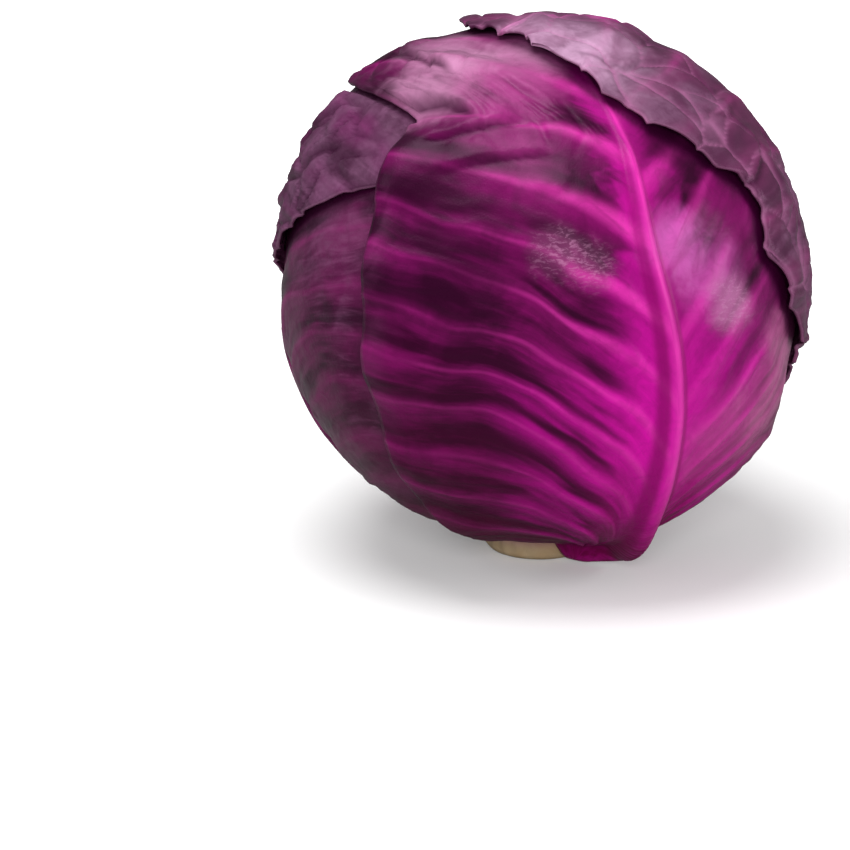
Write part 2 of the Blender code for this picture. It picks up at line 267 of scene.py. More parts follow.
print(len(LAMPS), "lamps in a white room")

# %% [markdown]
# ## A map of the head
# Every place on the head is named by an azimuth, which turns from the front towards the right, and a
# latitude, which rises from the widest level. A leaf has a chart of its own, like a map centred on one
# town: x runs across the leaf and y from the stem to the tip, both as angles. Shapes that are drawn in the
# chart wrap the ball without tearing.

# %% Directions and charts
BODY_RADIUS = 0.0765
BODY_CENTRE = np.array((0, 0, 0.0822))
LEAF_BASE_LATITUDE = -76.2


def on_head(azimuth, latitude):
    """Unit vector towards a place, from its azimuth and latitude in degrees."""
    azimuth, latitude = np.radians(azimuth), np.radians(latitude)
    level = np.cos(latitude)
    return np.stack([level * np.sin(azimuth), -level * np.cos(azimuth), np.sin(latitude)], -1)


def chart_axes(leaf):
    middle = on_head(leaf.rib_azimuth, leaf.middle_latitude)
    across = on_head(leaf.rib_azimuth + 90, 0)
    return middle, across, np.cross(middle, across)


def chart_of(leaf, direction):
    """Chart position of a direction."""
    middle, across, tipwards = chart_axes(leaf)
    reach = np.arccos(np.clip(direction @ middle, -1, 1))
    side, rise = direction @ across, direction @ tipwards
    spread = np.maximum(np.hypot(side, rise), 1e-9)
    return reach * side / spread, reach * rise / spread


def direction_of(leaf, x, y):
    """Direction of a chart position."""
    middle, across, tipwards = chart_axes(leaf)
    reach = np.maximum(np.hypot(x, y), 1e-9)
    side, rise = np.sin(reach) * x / reach, np.sin(reach) * y / reach
    return np.cos(reach)[..., None] * middle + side[..., None] * across + rise[..., None] * tipwards


print("front of the head:", on_head(0.0, 0.0))

# %% [markdown]
# ## The six wrapper leaves
# A leaf is described by the place of its midrib and by a row of places along its margin. They are the same
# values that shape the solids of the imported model, so the fine leaves lie where the solids lie.

# %% The leaf record


@dataclass
class Leaf:
    """One wrapper leaf. Places are (azimuth, latitude) in degrees, and depths and heights are in metres.
    Crumple is the width of its meshes and their depth."""

    name: str
    rib_azimuth: float
    middle_latitude: float
    margin: list
    veins: int = 12
    lift: float = 0.0016
    rib_bend: float = 0.0
    rib_bulge: float = 0.0
    rows: int = 190
    columns: int = 221
    lobes: float = 0.0006
    cusps: list = field(default_factory=list)
    crinkle: float = 0.0004
    crumple: tuple = (0.020, 0.0)
    creases: list = field(default_factory=list)
    corners: list = field(default_factory=list)


def round_margin(latitude, half_width, tip_reach):
    """A plain round margin, as (bearing, reach) in degrees, for a leaf that others mostly cover."""
    base_reach = latitude - LEAF_BASE_LATITUDE
    sides = [(bearing, half_width) for bearing in (50, 95, 130)]
    base = [(158, 0.5 * (base_reach + half_width)), (180, base_reach)]
    return [(0, tip_reach)] + sides + base + [(-b, r) for b, r in sides + base[:1]]


print("a leaf has", len(Leaf.__dataclass_fields__), "values")

# %% The leaves, from the innermost to the outermost
BACK_LEAF = Leaf("back_leaf", 172, 8, [], veins=10, lift=0.0006, rows=130, columns=141)
LEFT_LEAF = Leaf("left_leaf", -92, 4, [], rib_bend=4, crinkle=0.0006)
RIGHT_LEAF = Leaf("right_leaf", 78, 6, [], veins=8, lift=0.0, rows=80, columns=81)
SHOULDER_LEAF = Leaf(
    "shoulder_leaf", -142, 16,
    [(-112, -75.5), (-104, -66), (-102, -44), (-101, -18), (-98, 2), (-90, 8), (-80, 15), (-70, 22),
     (-57, 29), (-43, 35), (-33, 43), (-20, 62), (60, 80), (135, 68), (155, 48), (168, 28), (178, 8),
     (-176, -12), (-174, -34), (-175, -62), (-171, -75.5)],
    crinkle=0.0015, lobes=0.0010, crumple=(0.014, 0.0013), lift=0.0005,
)
FRONT_LEAF = Leaf(
    "front_leaf", 28, 8,
    [(-8, -75.5), (-24, -66), (-33, -48), (-36, -28), (-38, -8), (-39, 10), (-40, 20), (-41, 31),
     (-42, 40), (-44, 47), (-50, 51), (-82, 50), (-98, 47), (-112, 51), (-124, 59), (-136, 69),
     (160, 78), (114, 66), (106, 44), (104, 20), (101, -5), (97, -28), (90, -48), (80, -64), (62, -75.5)],
    veins=14, rib_bend=14, rib_bulge=0.003, crumple=(0.013, 0.0009),
)
CAP_LEAF = Leaf(
    "cap_leaf", 125, 12,
    [(108, -75.5), (101, -62), (96, -46), (93, -31), (87, -18), (78, -10), (69, -4), (64, 3), (60, 10),
     (57, 17), (60, 27), (53, 35), (45, 42), (35, 51), (26, 60), (14, 71), (-30, 80), (-120, 70),
     (-148, 61), (-168, 45), (180, 26), (175, 6), (170, -14), (164, -34), (158, -54), (156, -66),
     (154, -75.5)],
    lobes=0.0036, crinkle=0.0006, crumple=(0.015, 0.0011),
    cusps=[(-102, 77), (-59, 78), (-8, 77), (15, 71), (25, 59), (34, 49), (47, 36), (61, 27), (56, 15),
           (64, 3), (72, -6), (85, -14), (96, -26)],
)
BACK_LEAF.corners = round_margin(8, 70, 84)
LEFT_LEAF.corners = round_margin(4, 72, 80)
RIGHT_LEAF.corners = round_margin(6, 68, 78)
LEAVES = [BACK_LEAF, LEFT_LEAF, RIGHT_LEAF, SHOULDER_LEAF, FRONT_LEAF, CAP_LEAF]
print("leaves:", [leaf.name for leaf in LEAVES])

# %% The margin as a smooth curve


def margin_corners(leaf):
    """The margin as sorted (bearing, reach) in radians. Bearing 0 is the tip and pi the base."""
    if leaf.corners:
        pairs = np.radians(np.array(leaf.corners, float))
    else:
        points = np.array(leaf.margin + [(leaf.rib_azimuth, LEAF_BASE_LATITUDE)], float)
        x, y = chart_of(leaf, on_head(points[:, 0], points[:, 1]))
        pairs = np.stack([np.arctan2(x, y), np.hypot(x, y)], -1)
    return pairs[np.argsort(pairs[:, 0])]


def margin_reach(leaf, bearing):
    """Smooth reach of the margin: a cubic through the corners, round the full turn."""
    corners = margin_corners(leaf)
    turn = 2 * math.pi
    angles = np.concatenate([corners[-2:, 0] - turn, corners[:, 0], corners[:2, 0] + turn])
    reaches = np.concatenate([corners[-2:, 1], corners[:, 1], corners[:2, 1]])
    slopes = np.gradient(reaches, angles)
    k = np.clip(np.searchsorted(angles, bearing) - 1, 0, len(angles) - 2)
    step = angles[k + 1] - angles[k]
    q = (bearing - angles[k]) / step
    return (
        (1 + 2 * q) * (1 - q) ** 2 * reaches[k]
        + q * (1 - q) ** 2 * step * slopes[k]
        + q * q * (3 - 2 * q) * reaches[k + 1]
        + q * q * (q - 1) * step * slopes[k + 1]
    )


tip_degrees = math.degrees(float(margin_reach(FRONT_LEAF, 0.0)))
print("the front leaf reaches", round(tip_degrees), "degrees to its tip")

# %% [markdown]
# ## Chance that repeats
# Real leaves are uneven at every size. Value noise gives that: random numbers on the corners of a lattice,
# blended smoothly in between. The seed is fixed, so the leaves come out alike on every run.

# %% Value noise
LATTICE = 32
CHANCE = np.random.default_rng(17).random((LATTICE, LATTICE, LATTICE))


def smooth_step(value):
    value = np.clip(value, 0, 1)
    return value * value * (3 - 2 * value)


def bell(offset, width):
    """1 at no offset, falling off smoothly on both sides."""
    return np.exp(-((offset / width) ** 2))


def noise(direction, size, seed=0.0):
    """Smooth chance from 0 to 1 over the head. Size is the width of its lumps in metres."""
    place = direction * (BODY_RADIUS / size) + seed * 7.31 + 64
    cell = np.floor(place).astype(int)
    part = smooth_step(place - cell)
    total = 0
    for i in (0, 1):
        for j in (0, 1):
            for k in (0, 1):
                weight = (
                    np.abs(1 - i - part[..., 0]) * np.abs(1 - j - part[..., 1]) * np.abs(1 - k - part[..., 2])
                )
                corner = (cell + (i, j, k)) % LATTICE
                total = total + weight * CHANCE[corner[..., 0], corner[..., 1], corner[..., 2]]
    return total


print("chance at the front:", round(float(noise(on_head(0.0, 0.0), 0.01)), 3))

# %% [markdown]
# ## Layers that never cross
# Each leaf lies on the leaves inside it. Where an inner leaf passes beneath, the outer one is lifted by its
# thickness, a hair's breadth of air and the swell of its rib. Past an inner leaf's margin the lift fades out,
# as a leaf sags over the edge of another.

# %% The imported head, ribs and cover
BLADE = 0.0010
GAP = 0.0006
FADE = 0.014
MARGIN_CLEARANCE = 0.004
FOOT_DIMPLE = 0.0045
FOOT_DIMPLE_WIDTH = math.radians(30)
SWELLS = [
    # azimuth and latitude in degrees, height, width
    (-102, 38, 0.0042, math.radians(25)),
    (84, -10, -0.0024, math.radians(18)),
    (20, 80, -0.0024, math.radians(38)),
]
RIB_BASE_HEIGHT = 0.0062
RIB_TIP_HEIGHT = 0.0007
RIB_BASE_HALF_WIDTH = 0.0105
RIB_TIP_HALF_WIDTH = 0.0026
RIB_SWELL_WIDTH = 1.9
RIB_PRESSED = 0.65
SHADE_WIDTH = 0.0019
SHADE_FALL = 1.3


def body_radius(direction):
    """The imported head: round, a little lumpy, and hollowed where the stem leaves it."""
    x, y, z = direction[..., 0], direction[..., 1], direction[..., 2]
    lumps = (
        0.010 * np.sin(2.9 * x + 1.3 * y + 0.6)
        + 0.008 * np.sin(3.1 * y - 2.0 * z + 1.9)
        + 0.006 * np.sin(4.3 * z + 2.2 * x - 0.4)
    )
    from_foot = np.arccos(np.clip(-z, -1, 1))
    radius = BODY_RADIUS * (1 + lumps) - FOOT_DIMPLE * bell(from_foot, FOOT_DIMPLE_WIDTH)
    for azimuth, latitude, height, width in SWELLS:
        apart = np.arccos(np.clip(direction @ on_head(azimuth, latitude), -1, 1))
        radius = radius + height * bell(apart, width)
    return radius


def rib_progress(leaf, y):
    """0 at the base of the midrib and 1 at its tip."""
    base, tip = margin_reach(leaf, np.array([math.pi, 0.0]))
    return np.clip((y + base) / (base + tip), 0, 1)


def rib_line(leaf, y):
    """Sideways place of the midrib. It leaves the stem a little aside, swings back and bows halfway up."""
    along = rib_progress(leaf, y)
    start = np.exp(-along / 0.15) * smooth_step(along / 0.06)
    bow = 0.25 * bell(along - 0.55, 0.12)
    return math.radians(leaf.rib_bend) * (start - bow)


def rib_size(leaf, y):
    """Height and half width of the midrib."""
    along = rib_progress(leaf, y)
    height = RIB_TIP_HEIGHT + (RIB_BASE_HEIGHT - RIB_TIP_HEIGHT) * (1 - along) ** 1.6
    height = height + leaf.rib_bulge * bell(along - 0.09, 0.07)
    return height, RIB_TIP_HALF_WIDTH + (RIB_BASE_HALF_WIDTH - RIB_TIP_HALF_WIDTH) * (1 - along) ** 1.3


def rib_height(leaf, x, y, wider=1.0):
    """The midrib as a rounded ridge."""
    height, half_width = rib_size(leaf, y)
    aside = (x - rib_line(leaf, y)) * BODY_RADIUS / (half_width * wider)
    return height * np.exp(-(aside**2) * 1.6)


def past_margin(leaf, direction):
    """How far a place is outside a leaf's margin, in metres. Inside it the value is negative."""
    x, y = chart_of(leaf, direction)
    return (np.hypot(x, y) - margin_reach(leaf, np.arctan2(x, y))) * BODY_RADIUS


def cover(leaf, direction):
    """1 where the leaf lies, fading to 0 outside its margin."""
    return 1 - smooth_step((past_margin(leaf, direction) - MARGIN_CLEARANCE) / FADE)


def layers_below(index, direction):
    """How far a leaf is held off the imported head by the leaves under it."""
    total = np.zeros(direction.shape[:-1])
    for leaf in LEAVES[:index]:
        x, y = chart_of(leaf, direction)
        swell = (1 - RIB_PRESSED) * rib_height(leaf, x, y, RIB_SWELL_WIDTH)
        total += cover(leaf, direction) * (BLADE + GAP + swell)
    return total


def painted_margin_shade(index, direction):
    """Painted shade: 1 under the margin of a leaf further out, fading within a few millimetres outside it."""
    most = np.zeros(direction.shape[:-1])
    for leaf in LEAVES[index + 1 :]:
        beyond = np.maximum(past_margin(leaf, direction), 0)
        most = np.maximum(most, np.exp(-((beyond / SHADE_WIDTH) ** SHADE_FALL)))
    return most


def pressed(index, direction):
    """1 where a leaf further out presses this one flat."""
    most = np.zeros(direction.shape[:-1])
    for leaf in LEAVES[index + 1 :]:
        most = np.maximum(most, cover(leaf, direction))
    return most


print("packed radius at the front:", round(float(body_radius(on_head(0.0, 0.0))) * 1000, 1), "mm")

# %% [markdown]
# ## Veins, lobes and folds
# The side veins leave the midrib almost along it, then arch outwards to the margin. The rows of the leaf's
# grid run the same way, so a vein is simply a row, and relief and colour can follow it exactly. The margin
# is cut in shallow lobes with a small cusp between two of them.

# %% The grid of a leaf
BASE_BEARING = math.radians(175)
TIP_BEARING = math.radians(12)
LOBE_STEP = math.radians(11)
UNEVEN_MARGIN = 0.00035


def lobe_count(leaf, bearing):
    """Counts the lobes round the margin, so that a whole number lies on a cusp."""
    if not leaf.cusps:
        return bearing / LOBE_STEP
    places = np.array(leaf.cusps, float)
    x, y = chart_of(leaf, on_head(places[:, 0], places[:, 1]))
    known = np.sort(np.arctan2(x, y))
    inside = np.interp(bearing, known, np.arange(len(known)))
    before = np.minimum(bearing - known[0], 0) / LOBE_STEP
    after = np.maximum(bearing - known[-1], 0) / LOBE_STEP
    return inside + before + after


def lobed_reach(leaf, bearing):
    """The margin with shallow bays between sharp cusps. The bays differ in depth round the leaf."""
    around = np.stack([bearing * 0.9, bearing * 0, bearing * 0], -1)
    depth = leaf.lobes * (0.55 + 0.7 * noise(around, 0.02, leaf.rib_azimuth))
    small = UNEVEN_MARGIN * (noise(around * 6, 0.02, 2 + leaf.rib_azimuth) - 0.5)
    count = lobe_count(leaf, bearing)
    bay = 1 - np.abs(2 * np.mod(count, 1) - 1) ** 2.2
    depth = np.where((count > -1) & (count < max(len(leaf.cusps), 2)), depth, 0.3 * depth)
    return margin_reach(leaf, bearing) + (small + depth * (0.25 - bay)) / BODY_RADIUS


def grid_spine(leaf, y):
    """Sideways place of the middle of the grid. It follows the midrib, but not its swing beside the stem."""
    return rib_line(leaf, y) * smooth_step((rib_progress(leaf, y) - 0.04) / 0.36)


def leaf_chart(leaf, across, along):
    """Chart position of the grid: across is -1 to 1 from margin to margin, along 0 to 1 up the leaf."""
    base, tip = margin_reach(leaf, np.array([math.pi, 0.0]))
    bearing = BASE_BEARING - (BASE_BEARING - TIP_BEARING) * along**0.82
    side = np.where(across < 0, -1.0, 1.0)
    reach = margin_reach(leaf, side * bearing)
    start_y = -base + (base + tip) * along**1.8
    start_x = grid_spine(leaf, start_y)
    end_x, end_y = side * reach * np.sin(bearing), reach * np.cos(bearing)
    lean = np.arctan((grid_spine(leaf, start_y + 0.01) - grid_spine(leaf, start_y - 0.01)) / 0.02)
    leave = lean + side * np.radians(20 + 66 * along**3)
    lead = 0.48 * np.hypot(end_x - start_x, end_y - start_y)
    control_x = start_x + lead * np.sin(leave)
    control_y = start_y + lead * np.cos(leave) * smooth_step(along / 0.12)
    q = np.abs(across)
    x = (1 - q) ** 2 * start_x + 2 * q * (1 - q) * control_x + q * q * end_x
    y = (1 - q) ** 2 * start_y + 2 * q * (1 - q) * control_y + q * q * end_y
    return x, y


def lobed_chart(leaf, across, along):
    """The grid again, with its outer edge pulled on to the lobed margin."""
    x, y = leaf_chart(leaf, across, along)
    bearing, reach = np.arctan2(x, y), np.hypot(x, y)
    edge = smooth_step((np.abs(across) - 0.8) / 0.2) * smooth_step(along / 0.06)
    top_x, top_y = x[-1:], y[-1:]
    top = lobed_reach(leaf, np.arctan2(top_x, top_y)) / np.maximum(np.hypot(top_x, top_y), 1e-6)
    crown = smooth_step((along - 0.84) / 0.16)
    scale = 1 + (top - 1) * crown
    side_pull = (lobed_reach(leaf, bearing) - margin_reach(leaf, bearing)) / np.maximum(reach, 1e-6)
    scale = scale + side_pull * edge * (1 - crown)
    return x * scale, y * scale


print("lobes of the cap leaf:", CAP_LEAF.lobes * 1000, "mm deep")

# %% Veins as numbers
VEIN_HEIGHT = 0.0010
VEIN_WIDTH = 0.16
FINE_RIDGE_HEIGHT = 0.00022
FINE_RIDGE_WIDTH = 0.2
FINE_RIDGES_PER_VEIN = 3


def vein_phase(leaf, across, along, direction):
    """Counts the side veins up the leaf, so that a whole number lies on a vein. Chance bends their paths,
    but not near the tip."""
    wander = 0.55 * (noise(direction, 0.030, 3 + leaf.rib_azimuth) - 0.5)
    wander = wander + 0.28 * (noise(direction, 0.012, 5 + leaf.rib_azimuth) - 0.5)
    wander = wander * (1 - 0.8 * smooth_step((along - 0.58) / 0.14))
    side = np.where(across < 0, 0.0, 0.37)
    return along * leaf.veins + side + wander * smooth_step(np.abs(across) / 0.35)


def vein_ridge(phase, across, width=VEIN_WIDTH):
    """Ridge of the side veins: broad by the rib and finer outwards."""
    away = np.abs(np.mod(phase + 0.5, 1) - 0.5)
    return bell(away, width * (1.35 - 0.6 * np.abs(across)))


print("side veins of the front leaf:", FRONT_LEAF.veins)

# %% [markdown]
# A fold is a crooked line on the head. On its upper side the blade stands proud and rounds off over the
# line, and on its lower side the blade is tucked under, so a dark shadow line appears. Shade is also painted
# along that line.

# %% Folds
DEEP_FOLD = 0.0016


@dataclass
class Crease:
    """A fold from left to right. Height is how far the upper side stands proud, in metres. Start is the
    share of the fold over which it rises to that height."""

    places: list
    height: float
    spread: float
    tuck: float = 0.0
    start: float = 0.22


def crease_relief(crease, direction):
    """Height that one fold adds, and how much painted shade lies on the line under it."""
    points = on_head(*np.array(crease.places, float).T)
    middle = points.mean(0)
    middle /= np.linalg.norm(middle)
    right = np.cross((0, 0, 1), middle)
    right /= np.linalg.norm(right)
    up = np.cross(middle, right)
    here = np.stack([direction @ right, direction @ up], -1) * BODY_RADIUS
    line = np.stack([points @ right, points @ up], -1) * BODY_RADIUS
    best = np.full(direction.shape[:-1], 1e9)
    signed, share = np.zeros_like(best), np.zeros_like(best)
    for k, (first, second) in enumerate(zip(line, line[1:])):
        run = second - first
        length = np.linalg.norm(run)
        t = np.clip(((here - first) @ run) / length**2, 0, 1)
        nearest = first + t[..., None] * run
        distance = np.linalg.norm(here - nearest, axis=-1)
        above = (here[..., 0] - first[0]) * -run[1] + (here[..., 1] - first[1]) * run[0]
        closer = distance < best
        best = np.where(closer, distance, best)
        signed = np.where(closer, np.where(above > 0, distance, -distance), signed)
        share = np.where(closer, (k + t) / (len(line) - 1), share)
    front = (direction @ middle) > 0.3
    ends = smooth_step(share / crease.start) * smooth_step((1 - share) / 0.35)
    rise = smooth_step((signed + 0.0004) / 0.0014) * np.exp(-np.maximum(signed, 0) / crease.spread)
    sink = crease.tuck * bell(signed + 0.0016, 0.0012)
    # painted shade along the tucked side of the fold
    shadow = bell(signed + 0.0010, 0.0011) * crease.height / DEEP_FOLD
    return front * ends * (crease.height * rise - sink), front * ends * shadow


FRONT_LEAF.creases = [
    Crease([(-56, 52), (-46, 53.5), (-37, 54.5), (-28, 54.5), (-18, 52)], 0.0032, 0.012, 0.0006, 0.02),
    Crease([(-104, 57), (-91, 62), (-72, 65), (-55, 65.5), (-38, 62)], 0.0018, 0.008, 0.0005),
    Crease([(-38, 43), (-28, 47), (-15, 52), (0, 55)], 0.0015, 0.006, 0.0003),
    Crease([(-30, 37), (-18, 42), (-4, 45), (8, 44)], 0.0012, 0.006, 0.0003),
    Crease([(-20, 66), (-8, 63), (4, 60)], 0.0007, 0.005, 0.0002),
    Crease([(-2, 37), (4, 35.5), (10, 37)], 0.0006, 0.003, 0.0002),
]
SHOULDER_LEAF.creases = [
    Crease([(-84, 28), (-74, 36), (-62, 40)], 0.0016, 0.006, 0.0005),
    Crease([(-100, 26), (-90, 40), (-80, 50)], 0.0014, 0.006, 0.0004),
    Crease([(-104, 12), (-92, 18), (-80, 24)], 0.0011, 0.006, 0.0004),
]
CAP_LEAF.creases = [
    Crease([(52, 33.5), (62, 31), (74, 34), (86, 40)], 0.0016, 0.006, 0.0005, 0.1),
    Crease([(20, 74), (48, 66), (80, 62)], 0.0008, 0.010, 0.0001),
    Crease([(60, 50), (76, 45), (96, 46)], 0.0007, 0.010, 0.0001),
]
print("folds:", sum(len(leaf.creases) for leaf in LEAVES))

# %% [markdown]
# The dry outer leaves are crumpled like paper. The borders between scattered seeds give a net of creases
# whose meshes all differ.

# %% Crumple
CREASE_HALF_WIDTH = 0.0014
CREASE_WANDER = 0.11


def crumple_lines(direction, cell, seed):
    """How near a place is to a crease: 1 on it and 0 beyond a few millimetres."""
    area = 4 * math.pi * BODY_RADIUS**2
    chance = np.random.default_rng(seed)
    seeds = chance.normal(size=(int(area / cell**2), 3))
    seeds /= np.linalg.norm(seeds, axis=1)[:, None]
    tree = KDTree(len(seeds))
    for number, point in enumerate(seeds):
        tree.insert(point, number)
    tree.balance()
    shift = [noise(direction, 0.016, seed + k) - 0.5 for k in range(3)]
    bent = direction + CREASE_WANDER * np.stack(shift, -1)
    apart = [tree.find_n(place, 2) for place in bent.reshape(-1, 3)]
    border = np.array([(second[2] - first[2]) * BODY_RADIUS for first, second in apart])
    return bell(border.reshape(direction.shape[:-1]), CREASE_HALF_WIDTH)


print("crumple lines of the cap leaf:", CAP_LEAF.crumple[0] * 1000, "mm apart")

# %% [markdown]
# ## The surface of a leaf
# All of this adds up to two radii for every place of the grid: one for the face that lies on the head, and
# one for the face that is seen. Veins stand on the seen face only. Folds and lifted margins move both.

# %% Waves and rolls of the margin
MARGIN_WAVES = 7
ROLL_HEIGHT = 0.0028


def margin_lift(leaf, across, along):
    """The free margin stands off in soft waves."""
    edge = smooth_step((np.abs(across) - 0.62) / 0.38) * smooth_step(along / 0.25)
    wave = 0.5 + 0.5 * np.sin(2 * math.pi * along * MARGIN_WAVES + leaf.rib_azimuth)
    if leaf is FRONT_LEAF:
        wave = wave * (1 - 0.9 * smooth_step((along - 0.70) / 0.10) * (across < 0))
    return leaf.lift * edge * wave


def left_margin_roll(leaf, across, along):
    """The front leaf's left margin rolls up, away from the leaf beneath."""
    if leaf is not FRONT_LEAF:
        return 0.0
    band = smooth_step((-across - 0.80) / 0.17)
    level = smooth_step((along - 0.33) / 0.10) * smooth_step((0.80 - along) / 0.08)
    return ROLL_HEIGHT * band * level


print("the margin waves", MARGIN_WAVES, "times")

# %% The face on the head
LUMPS = [
    # height, width, seed
    (0.0010, 0.024, 11),
    (0.0006, 0.011, 21),
]
CRUMPLE_SEED = 40


def inner_face(index, direction, across, along, free):
    """Radius of the face on the head, how much painted shade lies under its folds, and where it is crumpled.
    """
    leaf = LEAVES[index]
    lump = sum(height * noise(direction, width, seed + index) for height, width, seed in LUMPS)
    radius = body_radius(direction) + layers_below(index, direction)
    radius = radius + free * (margin_lift(leaf, across, along) + left_margin_roll(leaf, across, along) + lump)
    painted_fold_shade = np.zeros_like(free)
    for crease in leaf.creases:
        relief, shadow = crease_relief(crease, direction)
        radius = radius + free * relief
        painted_fold_shade = np.maximum(painted_fold_shade, free * shadow)
    cell, depth = leaf.crumple
    fold = crumple_lines(direction, cell, CRUMPLE_SEED + index)
    if leaf is FRONT_LEAF:
        fold = fold * smooth_step((direction[..., 2] - 0.66) / 0.16) * (across < 0)
    # the shoulder leaf's crumple lines get painted shade as well
    if leaf is SHOULDER_LEAF:
        painted_fold_shade = np.maximum(painted_fold_shade, 0.6 * fold**2 * free)
    return radius + free * depth * (0.6 - fold), np.minimum(painted_fold_shade, 1), fold * free


print("lumps up to", LUMPS[0][0] * 1000, "mm high")

# %% Midrib, side veins and the seen face
GROOVE_DEPTH = 0.00030
THINNEST = 0.0007


def midrib(leaf, x, y, across, along):
    """Place across the midrib, the half width of its back and its height. The first two are shares of the
    half width of its foot."""
    height, half_width = rib_size(leaf, y)
    aside = (x - rib_line(leaf, y)) * BODY_RADIUS / half_width
    slim = 0.42 + 0.26 * (1 - along) ** 3
    stalk = np.clip(1 - (aside / slim) ** 2, 0, 1) ** 1.25
    sinking = 1 - 0.8 * smooth_step((np.abs(across) - 0.45) / 0.55)
    return aside, slim, height * (0.44 * np.exp(-1.9 * aside**2) + 0.46 * stalk) * sinking


def side_veins(phase, aside, across, along, direction):
    """Height of the side veins and of the fine ridges between them."""
    reach = np.abs(across)
    ends = smooth_step(along / 0.10) * smooth_step((1 - along) / 0.10)
    vein = vein_ridge(phase, across) * smooth_step((np.abs(aside) - 0.5) / 1.2) * ends
    vein = vein * (0.25 + 0.75 * bell(reach, 0.55))
    count = phase * FINE_RIDGES_PER_VEIN + 1.3 * noise(direction, 0.009, 31)
    fine = vein_ridge(count, across, FINE_RIDGE_WIDTH) * smooth_step(reach / 0.3)
    fine = fine * (1 - smooth_step((along - 0.62) / 0.16))
    return VEIN_HEIGHT * vein + FINE_RIDGE_HEIGHT * fine


def leaf_faces(index, across, along):
    """Directions, inner and outer radii, how free the leaf lies, and the values that the materials read."""
    leaf = LEAVES[index]
    x, y = lobed_chart(leaf, across, along)
    direction = direction_of(leaf, x, y)
    free = 1 - pressed(index, direction)
    reach = np.abs(across)
    inner, painted_fold_shade, fold = inner_face(index, direction, across, along, free)
    aside, slim, rib = midrib(leaf, x, y, across, along)
    groove = GROOVE_DEPTH * bell(np.abs(aside) - slim - 0.15, 0.2)
    phase = vein_phase(leaf, across, along, direction)
    thickness = BLADE + rib * (1 - RIB_PRESSED * (1 - free))
    thickness = thickness + free * (side_veins(phase, aside, across, along, direction) - groove)
    thickness = thickness * (1 - 0.35 * smooth_step((reach - 0.985) / 0.015))
    values = {
        "rib_distance": np.abs(x - rib_line(leaf, y)) * BODY_RADIUS * 1000,
        "along": along,
        "across": reach,
        "phase": phase,
        "edge": (1 - reach) * margin_reach(leaf, np.arctan2(x, y)) * BODY_RADIUS * 1000,
        "rib": bell(aside - 0.3 * slim, 0.62 * slim),
        "rib_side": np.clip(aside / slim, -6, 6),
        "fold": fold,
        "painted_fold_shade": painted_fold_shade,
        # under carries painted shade beside the margins of outer leaves
        "under": painted_margin_shade(index, direction),
    }
    return direction, inner, inner + np.maximum(thickness, THINNEST), free, values


print("veins stand", VEIN_HEIGHT * 1000, "mm over the blade")

# %% From grids to a closed mesh


def shell_mesh(name, inner, outer, values):
    """A closed shell from two grids of points, with their rims joined."""
    rows, columns = inner.shape[:2]
    count = rows * columns
    points = np.concatenate([outer.reshape(-1, 3), inner.reshape(-1, 3)])
    index = np.arange(count).reshape(rows, columns)
    a, b = index[:-1, :-1].ravel(), index[:-1, 1:].ravel()
    c, d = index[1:, 1:].ravel(), index[1:, :-1].ravel()
    top = np.stack([a, b, c, d], -1)
    under = np.stack([a, d, c, b], -1) + count
    rim = np.concatenate([index[0], index[1:, -1], index[-1, -2::-1], index[-2:0:-1, 0]])
    following = np.roll(rim, -1)
    edge = np.stack([following, rim, rim + count, following + count], -1)
    faces = np.concatenate([top, under, edge])
    mesh = bpy.data.meshes.new(name)
    mesh.vertices.add(len(points))
    mesh.vertices.foreach_set("co", points.ravel())
    mesh.loops.add(faces.size)
    mesh.loops.foreach_set("vertex_index", faces.ravel())
    mesh.polygons.add(len(faces))
    mesh.polygons.foreach_set("loop_start", np.arange(len(faces)) * 4)
    mesh.update(calc_edges=True)
    mesh.shade_smooth()
    for key, value in values.items():
        layer = mesh.attributes.new(key, "FLOAT", "POINT")
        layer.data.foreach_set("value", np.tile(np.ravel(value), 2).astype(np.float32))
    return mesh


def leaf_mesh(index):
    """The fine mesh of one leaf."""
    leaf = LEAVES[index]
    steps = np.linspace(-1, 1, leaf.columns)
    across = np.sign(steps) * np.abs(steps) ** 1.25
    along, across = np.meshgrid(np.linspace(0, 1, leaf.rows), across, indexing="ij")
    direction, inner, outer, free, values = leaf_faces(index, across, along)
    below = direction * inner[..., None] + BODY_CENTRE
    above = direction * outer[..., None] + BODY_CENTRE
    crinkle = leaf.crinkle * free
    if leaf is FRONT_LEAF:
        crinkle = crinkle * (0.5 + 1.4 * smooth_step((direction[..., 2] - 0.45) / 0.3) * (across < 0))
    values["crinkle"] = crinkle * (1 - values["rib"]) * smooth_step(along / 0.1)
    return shell_mesh(leaf.name + "_fine", below, above, values)


print("grid of a full leaf:", FRONT_LEAF.rows, "by", FRONT_LEAF.columns)

# %% [markdown]
# ## Crinkles with Geometry Nodes
# The blade between the veins is crinkled like paper that was once crushed. A small tree of Geometry Nodes
# adds this: two sizes of noise push each point outwards, by an amount that the mesh carries as an attribute.
# It is built once and used by every leaf with its own height, size and seed.

# %% The crinkle tree
FINE_CRINKLE_TIMES = 2.3
FINE_CRINKLE_SHARE = 0.4


def crinkle_noise(w, place, scale, seed, roughness):
    made = w.node("ShaderNodeTexNoise", noise_dimensions="4D", noise_type="RIDGED_MULTIFRACTAL")
    made.normalize = True
    return w.fill(made, Vector=place, Scale=scale, W=seed, Detail=2.0, Roughness=roughness)[0]


